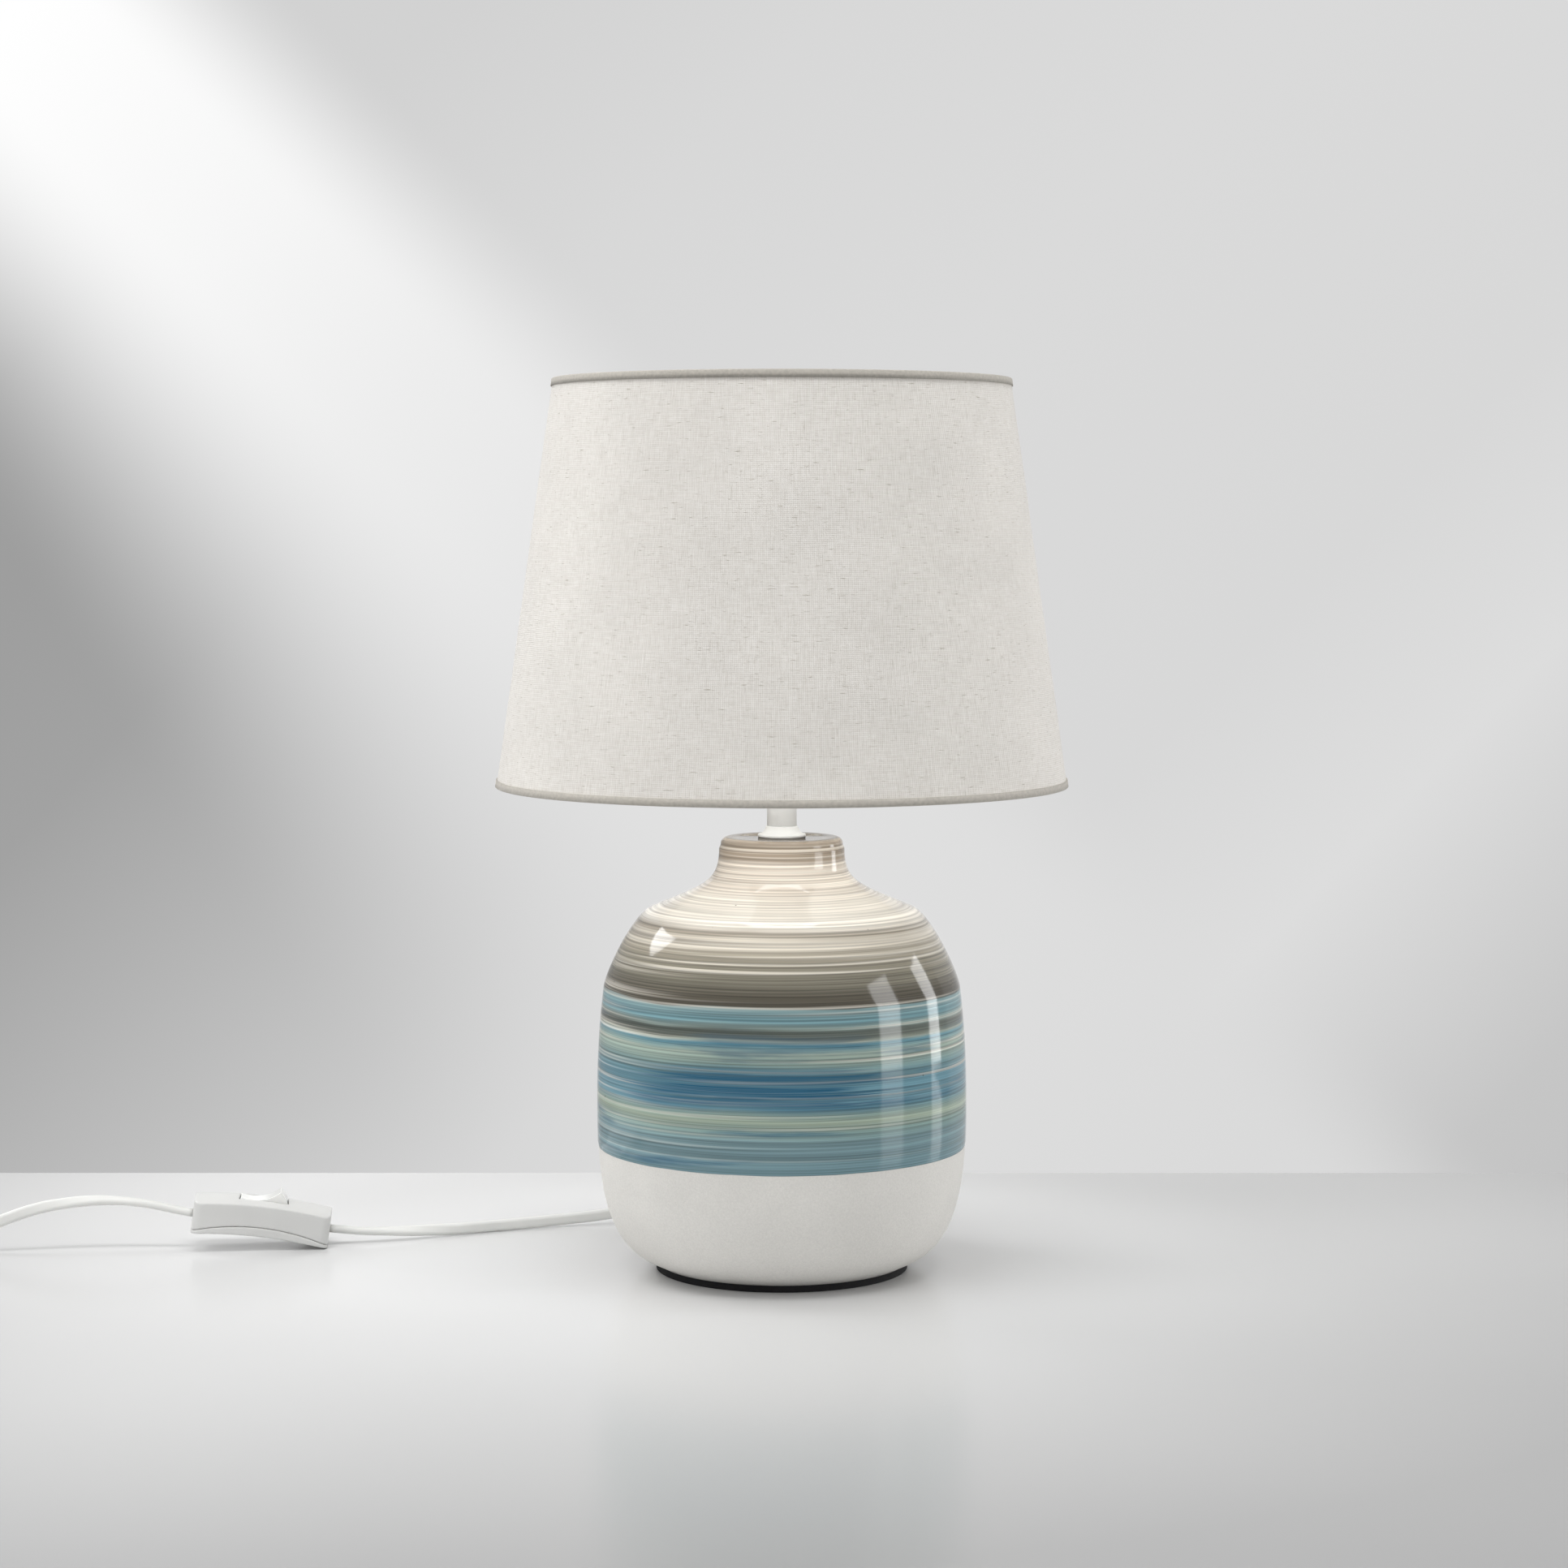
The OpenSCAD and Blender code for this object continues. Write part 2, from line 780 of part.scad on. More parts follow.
module wire_ring(z) {
    color("#eeeeea")
        rotate_extrude($fn = fine)
            translate([shade_r(z) - hem_t - ring_in, z])
                circle(wire_r - snug, $fn = 24);
}

low_ring_z = shade_z + hem_t + wire_r;
arm_r = wire_r - 0.25;
top_ring_z = shade_top - hem_t - wire_r;

module shade_ring_bottom() {
    wire_ring(low_ring_z);
}

module shade_ring_top() {
    wire_ring(top_ring_z);
}

module fitter_ring() {
    color("#eeeeea")
        ring(fitter_bore_r + fitter_w, fitter_bore_r, fitter_z, fitter_t);
}

// Each arm leaves the fitter ring level, slopes out over the hem and bends down onto the wire
module spider_arms() {
    ring_r = shade_r(low_ring_z) - hem_t - ring_in;
    start = [fitter_bore_r + fitter_w - snug, 0, fitter_z + fitter_t / 2];
    knee = [ring_r - 9, 0, low_ring_z + hem_h + 2.6];
    color("#eeeeea")
        for (i = [0 : arm_count - 1])
            rotate(90 + i * 360 / arm_count)
                tube(concat([start],
                            bezier(start + [5, 0, 0], start + [9, 0, 0],
                                   start + [11, 0, -0.4], start + [14, 0, -1.2], 4),
                            bezier(knee, knee + [5, 0, -1.3],
                                   [ring_r - 5 * shade_lean, 0, low_ring_z + 5],
                                   [ring_r - 3 * shade_lean, 0, low_ring_z + 3], 5),
                            [[ring_r, 0, low_ring_z + wire_r - snug]]),
                     arm_r, arm_r, 12, [0, 1, 0]);
}

// ---- cord and switch ----

module in_switch() {
    translate(switch_at)
        rotate([0, switch_pitch, switch_yaw])
            children();
}

// A place in the switch's frame, in the lamp's frame
function from_switch(p) =
    let (c = cos(switch_pitch), s = sin(switch_pitch),
         x = p.x * c + p.z * s, z = -p.x * s + p.z * c)
        switch_at + [x * cos(switch_yaw) - p.y * sin(switch_yaw),
                     x * sin(switch_yaw) + p.y * cos(switch_yaw), z];

module cord_to_switch() {
    color("#ecece8")
        tube(concat(cord_a, [from_switch([switch_l / 2 + 2, 0, cord_in_z]),
                             from_switch([switch_l / 2 + snug, 0, cord_in_z])]),
             cord_t / 2, cord_t / 2 + 0.6, 8);
}

// Outer form of the switch, made smaller all round by a gap
module switch_form(gap = 0) {
    difference() {
        intersection() {
            translate([0, 0, -20])
                linear_extrude(50)
                    rounded_rectangle(switch_l - 2 * gap, switch_w - 2 * gap,
                                      max(switch_corner - gap, 0.5));
            translate([0, 0, switch_top - arch_r])
                rotate([90, 0, 0])
                    rotate_extrude($fn = 360)
                        translate([arch_r - crown_r, 0])
                            circle(crown_r - gap, $fn = fine);
        }
        translate([0, 0, switch_under - arch_r])
            rotate([90, 0, 0])
                cylinder(r = arch_r + gap, h = 80, center = true, $fn = 360);
    }
}

// Everything under the seam between the two shells, raised by a gap
module under_seam(gap = 0) {
    translate([0, 0, seam_z - seam_r])
        rotate([90, 0, 0])
            cylinder(r = seam_r + gap, h = 80, center = true, $fn = 360);
}

module cord_notches() {
    for (s = [-1, 1])
        translate([s * switch_l / 2, 0, cord_in_z])
            rotate([0, 0, 90])
                translate([0, -5, 0])
                    rotate([0, 90, 0])
                        flat_bore(10, 0.15);
}

screw_x = switch_l / 2 - 12;
screw_y = switch_w / 2 - 4.3;
screw_places = [[screw_x, screw_y], [-screw_x, -screw_y]];

module switch_upper() {
    lug = 1.5;
    lug_in = rocker_w / 2 + 0.5;
    color("#d9d9d6")
        in_switch()
            difference() {
                union() {
                    difference() {
                        switch_form();
                        switch_form(switch_wall);
                    }
                    intersection() {
                        switch_form(switch_wall / 2);
                        for (s = [-1, 1])
                            translate([-4, s > 0 ? lug_in : -lug_in - lug, pivot_z - 3])
                                cube([8, lug, 20]);
                    }
                    intersection() {
                        switch_form(switch_wall / 2);
                        for (p = screw_places)
                            translate([p.x, p.y, -20])
                                cylinder(r = 2.8, h = 40, $fn = 48);
                    }
                }
                under_seam(snug);
                translate([0, 0, pivot_z])
                    rotate([90, 0, 0])
                        intersection() {
                            cylinder(r = rocker_r + 0.35, h = rocker_w + 0.7, center = true);
                            translate([-20, -2, -20])
                                cube([40, 40, 40]);
                        }
                translate([0, 0, pivot_z])
                    rotate([90, 0, 0])
                        cylinder(r = pin_r + snug, h = 2 * (lug_in + lug) + 1, center = true,
                                 $fn = 32);
                for (p = screw_places)
                    translate([p.x, p.y, -10])
                        cylinder(r = 1.25, h = 10 + pivot_z, $fn = 32);
                cord_notches();
            }
}

module switch_lower() {
    color("#cfcfcc")
        in_switch()
            difference() {
                union() {
                    intersection() {
                        difference() {
                            switch_form();
                            switch_form(switch_wall);
                        }
                        under_seam(-snug);
                    }
                    intersection() {
                        switch_form(switch_wall / 2);
                        under_seam(-snug);
                        for (p = screw_places)
                            translate([p.x, p.y, -20])
                                cylinder(r = 3.6, h = 40, $fn = 48);
                    }
                }
                for (p = screw_places) {
                    translate([p.x, p.y, -20])
                        cylinder(r = 1.6, h = 40, $fn = 32);
                    translate([p.x, p.y, -20])
                        cylinder(r = 2.9, h = 20 + switch_under + 0.9, $fn = 48);
                }
                cord_notches();
            }
}

module switch_screws() {
    color("#b9bcc0")
        in_switch()
            for (p = screw_places)
                translate([p.x, p.y, switch_under - 0.3]) {
                    difference() {
                        cylinder(r = 2.7, h = 1.15, $fn = 48);
                        translate([-3, -0.35, -1])
                            cube([6, 0.7, 1.5]);
                    }
                    translate([0, 0, 1])
                        cylinder(r = 1.2, h = 6.5, $fn = 32);
                }
}

// Rocker: ends round about the pivot, top dished, waist open for the plunger
module rocker() {
    dish_r = ((rocker_r * 0.775) ^ 2 + rocker_dish ^ 2) / (2 * rocker_dish);
    color("#f8f8f6")
        in_switch()
            translate([0, 0, pivot_z])
                rotate([0, -rocker_tilt, 0])
                    difference() {
                        rotate([90, 0, 0])
                            linear_extrude(rocker_w, center = true)
                                difference() {
                                    intersection() {
                                        circle(rocker_r, $fn = 120);
                                        polygon([
                                            [-20, 3.6], [-4, -2], [-2.6, -rocker_leg],
                                            [2.6, -rocker_leg], [4, -2], [20, 3.6],
                                            [20, rocker_top],
                                            [-20, rocker_top]
                                        ]);
                                    }
                                    translate([0, rocker_top - rocker_dish + dish_r])
                                        circle(dish_r, $fn = 120);
                                    circle(pin_r + snug, $fn = 32);
                                }
                        translate([0, 0, -rocker_leg - 1])
                            cylinder(r = plunger_r + snug, h = rocker_leg - 0.6, $fn = 32);
                    }
}

module rocker_plunger() {
    color("#e2dfd5")
        in_switch()
            translate([0, 0, pivot_z])
                rotate([0, -rocker_tilt, 0]) {
                    translate([0, 0, -rocker_leg - 0.2])
                        cylinder(r = plunger_r, h = rocker_leg - 1.6, $fn = 32);
                    translate([0, 0, -rocker_leg - 0.2])
                        sphere(plunger_r, $fn = 32);
                }
}

module rocker_pin() {
    color("#b9bcc0")
        in_switch()
            translate([0, 0, pivot_z])
                rotate([90, 0, 0])
                    cylinder(r = pin_r, h = rocker_w + 3.6, center = true, $fn = 32);
}

// Contact see-saw: a thin brass strip on a round rib, which tips the other way from the rocker
module contact_seesaw() {
    color("#c9a24b")
        in_switch()
            translate([0, 0, seesaw_z])
                rotate([0, seesaw_tilt, 0]) {
                    translate([-8, -2.5, -0.4])
                        cube([16, 5, 0.8]);
                    rotate([90, 0, 0])
                        cylinder(r = 0.65, h = 5, center = true, $fn = 32);
                }
}

// Terminals: the see-saw's post on its strap, and the contact that the see-saw meets
module switch_terminals() {
    low = switch_under + switch_wall + snug;
    block = 5.4;
    color("#c9a24b")
        in_switch()
            difference() {
                union() {
                    translate([-1.2, -2.4, low + 0.05])
                        cube([2.4, 4.8, seesaw_z - 0.75 - low]);
                    translate([0, -1.5, low + 0.05])
                        cube([11, 3, 0.8]);
                    translate([-11, -1.5, low + 0.05])
                        cube([5, 3, 0.8]);
                    for (s = [-1, 1])
                        translate([s * 12.5 - 2.5, -3, low])
                            cube([5, 6, block]);
                }
                for (s = [-1, 1])
                    translate([s * 12.5, 0, seam_z])
                        rotate([0, 90, 0])
                            cylinder(r = 1.1, h = 6, center = true, $fn = 32);
            }
}

module switch_leads() {
    half = switch_l / 2;
    inside = half - 7;
    drop = (inside + 15) / 2;
    side = switch_w / 2 - 4.5;
    color("#8a5a3a")
        in_switch() {
            for (s = [-1, 1])
                tube([[s * half, 1.2, cord_in_z], [s * inside, 1.3, cord_in_z],
                      [s * drop, 0.6, seam_z + 0.4], [s * 17, 0, seam_z],
                      [s * 11, 0, seam_z]], 0.9, 0.9, 8);
            tube([[-half, -1.2, cord_in_z], [-inside, -1.8, cord_in_z], [-18, -3, cord_in_z],
                  [-13, -5.6, cord_in_z], [-8, -side, cord_in_z], [8, -side, cord_in_z],
                  [13, -5.6, cord_in_z], [18, -3, cord_in_z], [inside, -1.8, cord_in_z],
                  [half, -1.2, cord_in_z]], 0.9, 0.9, 8);
        }
}

module cord_to_coil() {
    color("#ecece8")
        tube(concat([from_switch([-switch_l / 2 - snug, 0, cord_in_z]),
                     from_switch([-switch_l / 2 - 2, 0, cord_in_z])], cord_b),
             cord_t / 2, cord_t / 2 + 0.6, 8);
}

module cord_coil() {
    color("#ecece8")
        translate([coil_at.x, coil_at.y, tie_t])
            ring(coil_out_r, coil_in_r, 0, coil_h);
}

// A tie strap round the coil's section
module coil_tie() {
    radial = coil_out_r - coil_in_r + 0.4;
    color("#3a3a3c")
        translate([coil_at.x + coil_mid_r, coil_at.y, tie_t + coil_h / 2])
            difference() {
                cube([radial + 2 * tie_t + 1, tie_w, coil_h + 2 * tie_t], center = true);
                cube([radial + 1, tie_w + 2, coil_h + 0.02], center = true);
            }
}

module cord_to_plug() {
    color("#ecece8")
        tube(cord_c, cord_t / 2, cord_t / 2 + 0.6, 8);
}

// ---- plug ----

module at_plug() {
    translate(plug_at)
        rotate([90, 0, 0])
            children();
}

module plug_relief() {
    color("#f0f0ed")
        at_plug()
            translate([0, 0, -plug_relief_l + snug])
                difference() {
                    cylinder(r1 = 3.6, r2 = 5.2, h = plug_relief_l - 2 * snug);
                    for (i = [0 : 3], s = [-1, 1])
                        translate([0, s * 5.6, 5 + i * 4.2])
                            cube([14, 5, 1.3], center = true);
                }
}

// Plug body: a flat hexagon across, waisted between the fingers
module plug_body() {
    color("#f2f2ef")
        at_plug()
            intersection() {
                linear_extrude(plug_l)
                    polygon([
                        [-plug_w / 2, 0], [-plug_w / 2 + 5, plug_t / 2],
                        [plug_w / 2 - 5, plug_t / 2], [plug_w / 2, 0],
                        [plug_w / 2 - 5, -plug_t / 2], [-plug_w / 2 + 5, -plug_t / 2]
                    ]);
                rotate([90, 0, 0])
                    linear_extrude(plug_t + 2, center = true)
                        polygon([
                            [-8, 0], [8, 0], [11, 6], [12.5, 16], [plug_w / 2, 25],
                            [plug_w / 2, plug_l], [-plug_w / 2, plug_l], [-plug_w / 2, 25],
                            [-12.5, 16], [-11, 6]
                        ]);
            }
}

module pin_places() {
    at_plug()
        for (s = [-1, 1])
            translate([s * pin_pitch / 2, 0, plug_l + snug])
                children();
}

module plug_sleeves() {
    color("#2a2a2c")
        pin_places()
            difference() {
                cylinder(r = 1.95, h = 10, $fn = 48);
                translate([0, 0, -1])
                    cylinder(r = 1.5, h = 12, $fn = 48);
            }
}

module plug_pins() {
    color("#d0d2d5")
        pin_places() {
            cylinder(r = 1.5 - snug, h = 12, $fn = 48);
            translate([0, 0, 10 + snug])
                cylinder(r = 2, h = plug_pin_l - 11 - snug, $fn = 48);
            translate([0, 0, plug_pin_l - 1])
                cylinder(r1 = 2, r2 = 1.1, h = 1, $fn = 48);
        }
}

foot_pad();
ceramic_body();
base_washer();
lock_washer();
lower_nut();
threaded_tube();
stem_collar();
stem_sleeve();
cord_grip();
inner_cord();
holder_cap();
holder_insert();
holder_shell();
centre_contact();
side_contact();
terminal_screws();
holder_leads();
clamp_ring();
bulb_cap();
bulb_insulator();
bulb_tip();
bulb_housing();
led_driver();
led_plate();
led_chips();
bulb_globe();
shade_fabric();
shade_liner();
shade_hem_top();
shade_hem_bottom();
shade_ring_top();
shade_ring_bottom();
fitter_ring();
spider_arms();
cord_to_switch();
switch_upper();
switch_lower();
rocker();
rocker_pin();
rocker_plunger();
contact_seesaw();
switch_terminals();
switch_leads();
switch_screws();
cord_to_coil();
cord_coil();
coil_tie();
cord_to_plug();
plug_relief();
plug_body();
plug_sleeves();
plug_pins();
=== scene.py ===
"""Table lamp: linen shade on a glazed stoneware base, with a flat cord, rocker switch and plug.

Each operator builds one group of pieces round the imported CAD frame, in metres.
"""

import math

import bmesh
import bpy
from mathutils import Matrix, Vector


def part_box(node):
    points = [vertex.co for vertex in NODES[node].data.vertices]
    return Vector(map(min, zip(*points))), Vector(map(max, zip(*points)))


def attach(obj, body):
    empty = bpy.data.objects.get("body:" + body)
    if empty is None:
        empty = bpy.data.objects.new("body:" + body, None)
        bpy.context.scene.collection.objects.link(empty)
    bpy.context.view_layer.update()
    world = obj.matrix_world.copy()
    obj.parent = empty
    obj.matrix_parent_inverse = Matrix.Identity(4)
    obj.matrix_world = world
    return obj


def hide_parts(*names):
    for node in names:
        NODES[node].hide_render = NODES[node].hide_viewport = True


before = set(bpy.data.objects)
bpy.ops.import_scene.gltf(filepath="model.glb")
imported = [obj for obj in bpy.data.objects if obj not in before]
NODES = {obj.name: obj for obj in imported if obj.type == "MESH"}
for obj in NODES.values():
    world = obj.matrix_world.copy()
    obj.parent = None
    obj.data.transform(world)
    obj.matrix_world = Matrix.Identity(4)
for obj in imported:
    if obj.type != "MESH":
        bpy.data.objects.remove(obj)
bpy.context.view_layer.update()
MM = 0.001

bl_info = {
    "name": "Table lamp with shade",
    "version": (1, 0, 0),
    "blender": (4, 5, 0),
    "location": "View3D > Sidebar > Lamp",
    "description": "Builds a table lamp with a linen shade round its CAD frame",
    "category": "Object",
}

CELLS = "ShaderNodeTexVoronoi"
MAPPING = "ShaderNodeMapping"
SPLIT = "ShaderNodeSeparateXYZ"
JOIN = "ShaderNodeCombineXYZ"


def linear(hex_colour):
    """An sRGB hex value as linear red, green, blue and alpha."""
    parts = [int(hex_colour[i:i + 2], 16) / 255 for i in (1, 3, 5)]
    return tuple(c / 12.92 if c <= 0.04045 else ((c + 0.055) / 1.055) ** 2.4
                 for c in parts) + (1.0,)


# ---- sizes and colours that a user may change ----

def metres(name, description, default):
    return bpy.props.FloatProperty(name=name, description=description, default=default,
                                   unit="LENGTH", precision=4)


def colour(name, description, hex_colour):
    return bpy.props.FloatVectorProperty(name=name, description=description, size=4,
                                         subtype="COLOR", min=0, max=1,
                                         default=linear(hex_colour))


class LampBaseSizes(bpy.types.PropertyGroup):
    foot_r: metres("Foot radius", "Radius of the base where it stands", 58 * MM)
    belly_r: metres("Belly radius", "Widest radius of the base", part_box("ceramic_body")[1].x)
    belly_z: metres("Belly height", "Height of the widest place", 70 * MM)
    shoulder_r: metres("Shoulder radius", "Radius where the shoulder begins", 81 * MM)
    shoulder_z: metres("Shoulder height", "Height where the shoulder begins", 129 * MM)
    slope_r: metres("Slope radius", "Radius where the shoulder turns flatter", 60 * MM)
    slope_z: metres("Slope height", "Height where the shoulder turns flatter", 165 * MM)
    neck_r: metres("Neck radius", "Radius at the middle of the neck", 28.3 * MM)
    neck_z: metres("Neck height", "Height of the middle of the neck", 192 * MM)
    top_r: metres("Neck top radius", "Radius of the neck under its rounded lip", 27.5 * MM)
    lip: metres("Lip rounding", "Rounding of the neck's top edge", 3 * MM)
    wall: metres("Wall", "Thickness of the clay", 7 * MM)
    glaze_z: metres("Glaze line", "Height down to which the base is glazed", 57 * MM)
    glaze_t: metres("Glaze thickness", "How far the glaze stands proud", 0.3 * MM)


class LampShadeSizes(bpy.types.PropertyGroup):
    bottom_r: metres("Bottom radius", "Outside radius of the bottom hem",
                     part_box("shade_hem_bottom")[1].y)
    bottom_z: metres("Bottom height", "Height of the shade's lower edge",
                     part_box("shade_hem_bottom")[0].z)
    top_z: metres("Top height", "Height of the shade's upper edge",
                  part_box("shade_hem_top")[1].z)
    lean: bpy.props.FloatProperty(name="Lean", default=26.3 / 183.6,
                                  description="How much the radius falls for each unit of height")
    hem_h: metres("Hem height", "Height of the tape at each edge", 3.5 * MM)
    hem_t: metres("Hem thickness", "Thickness of the hem tape", 0.5 * MM)
    cloth_t: metres("Cloth thickness", "Thickness of the linen", 0.6 * MM)
    liner_t: metres("Liner thickness", "Thickness of the white liner", 0.35 * MM)
    thread: metres("Thread spacing", "Distance from thread to thread", 0.85 * MM)


class LampCordSizes(bpy.types.PropertyGroup):
    width: metres("Cord width", "Width across both cores", 5.6 * MM)
    thickness: metres("Cord thickness", "Thickness of one core", 3.4 * MM)


class LampColours(bpy.types.PropertyGroup):
    linen: colour("Linen", "Light threads of the shade", "#f3f0eb")
    # Linen shadow colours both the darker threads and the painted shade in the gaps between them
    linen_dark: colour("Linen shadow", "Gaps and dark threads of the shade", "#d0cac1")
    tape: colour("Hem tape", "Tape round the shade's edges", "#bfbab1")
    cream: colour("Cream", "Cream brush strokes", "#ece6da")
    blue: colour("Blue", "Deep blue brush strokes", "#13597b")
    bisque: colour("Bisque", "Unglazed clay", "#e9e7e2")
    plastic: colour("White plastic", "Holder, grip and plug", "#eeeeea")
    flex: colour("Cord", "Sleeve of the cord", "#e9e9e6")


def prefs():
    """The scene's own sizes and colours."""
    return bpy.context.scene.table_lamp


class LampSettings(bpy.types.PropertyGroup):
    base: bpy.props.PointerProperty(type=LampBaseSizes, name="Base",
                                    description="Sizes of the stoneware base")
    shade: bpy.props.PointerProperty(type=LampShadeSizes, name="Shade",
                                     description="Sizes of the shade")
    cord: bpy.props.PointerProperty(type=LampCordSizes, name="Cord",
                                    description="Sizes of the cord")
    colours: bpy.props.PointerProperty(type=LampColours, name="Colours",
                                       description="Colours of the finishes")


# ---- nodes ----

def feed(tree, node, feeds):
    """Set or link a node's inputs, each named or numbered."""
    for where, what in feeds.items():
        socket = (node.inputs[where] if isinstance(where, int) else
                  next(s for s in node.inputs if s.name == where and s.enabled))
        if isinstance(what, bpy.types.Node):
            what = next(s for s in what.outputs if s.enabled)
        if isinstance(what, bpy.types.NodeSocket):
            tree.links.new(what, socket)
        else:
            socket.default_value = what
    return node


def add(tree, kind, feeds=None, **settings):
    """Add a node with its settings and what feeds its inputs."""
    node = tree.nodes.new(kind)
    for name, value in settings.items():
        setattr(node, name, value)
    return feed(tree, node, feeds or {})


def maths(tree, operation, *values):
    """One sum on one to three values."""
    return add(tree, "ShaderNodeMath", dict(enumerate(values)), operation=operation)


def times(tree, first, second):
    """The product of two values."""
    return maths(tree, "MULTIPLY", first, second)


def remap(tree, value, low=0.0, high=1.0, to_low=0.0, to_high=1.0, kind="LINEAR"):
    """Carry a value from one range to another, held at both ends."""
    return add(tree, "ShaderNodeMapRange", {"Value": value, "From Min": low, "From Max": high,
                                            "To Min": to_low, "To Max": to_high},
               interpolation_type=kind)


def blend(tree, factor, first, second):
    """A mix of two colours."""
    return add(tree, "ShaderNodeMix", {"Factor": factor, "A": first, "B": second},
               data_type="RGBA")


def scaled(tree, shade, level):
    """A colour made lighter or darker."""
    return add(tree, "ShaderNodeVectorMath", {0: shade, "Scale": level}, operation="SCALE")


def noise_in(tree, place, scale, detail=2.0, roughness=0.5, seed=None):
    """Cloudy noise; another seed gives another pattern."""
    feeds = {"Vector": place, "Scale": scale, "Detail": detail, "Roughness": roughness}
    if seed is None:
        return add(tree, "ShaderNodeTexNoise", feeds)
    return add(tree, "ShaderNodeTexNoise", {**feeds, "W": seed}, noise_dimensions="4D")


def ramp(tree, value, stops):
    """Colours, each a hex value or a grey level, at places from 0 to 1."""
    node = add(tree, "ShaderNodeValToRGB", {0: value})
    elements = node.color_ramp.elements
    while len(elements) < len(stops):
        elements.new(1.0)
    for element, (where, shade) in zip(elements, stops):
        element.position = where
        element.color = linear(shade) if isinstance(shade, str) else (shade,) * 3 + (1,)
    return node


def on_object(tree):
    """The place on a piece, in metres of its own frame."""
    return add(tree, "ShaderNodeTexCoord").outputs["Object"]


def on_cloth(tree):
    """The place along the cloth, in metres of its own UV map."""
    return add(tree, "ShaderNodeTexCoord").outputs["UV"]


def new_material(name):
    """A material and its empty tree."""
    made = bpy.data.materials.new(name)
    made.use_nodes = True
    made.node_tree.nodes.clear()
    return made, made.node_tree


def new_finish(name, **constants):
    """A material with one principled shader, whose constants are set on its own sockets."""
    made, tree = new_material(name)
    shader = add(tree, "ShaderNodeBsdfPrincipled",
                 {k.replace("_", " "): v for k, v in constants.items()})
    add(tree, "ShaderNodeOutputMaterial", {"Surface": shader})
    return made, tree, shader


def raised(tree, shader, height, depth, strength=1.0):
    """Let a height pattern raise the surface by up to its depth in metres."""
    bump = add(tree, "ShaderNodeBump", {"Height": height, "Distance": depth,
                                        "Strength": strength})
    feed(tree, shader, {"Normal": bump})


def mottled(tree, shader, shade, size, amount):
    """Colour that drifts a little lighter and darker over the given size. Returns the place
    on the piece and the pattern."""
    place = on_object(tree)
    noise = noise_in(tree, place, 1 / size, 3.0)
    level = remap(tree, noise, 0.3, 0.7, 1 - amount, 1 + amount / 3)
    tone = scaled(tree, tuple(shade)[:3], level)
    feed(tree, shader, {"Base Color": tone})
    return place, noise


# ---- finishes ----

GLAZE_BANDS = [
    (57, "#6f9099"), (64, "#728f96"), (71, "#78949a"), (76, "#86a09b"),
    (80, "#a3b1a0"), (82.5, "#8fa59c"), (86, "#688f9c"), (92, "#6a92a0"),
    (97, "#668f9d"), (102, "#789a9f"), (106, "#95aaa2"), (110, "#a2b2a6"),
    (114, "#6595a3"), (115.4, "#b9c2b3"), (116.4, "#6a7068"), (119.8, "#616963"),
    (121.2, "#94a59f"), (124, "#7299a2"), (129.2, "#93b0b3"), (129.9, "#565248"),
    (134, "#5e594e"), (140, "#7c786b"), (146, "#8a8577"), (151, "#a39c8d"),
    (157, "#c2bbaf"), (160, "#978f82"), (163, "#d6d0c6"), (170, "#cfc8bd"),
    # The neck's brown bands at 188.6 and 197 mm are darkened further as painted shade under the
    # shade
    (177, "#c0b6aa"), (187.6, "#d0c5b8"), (188.6, "#a29484"), (197, "#978a7a"),
]


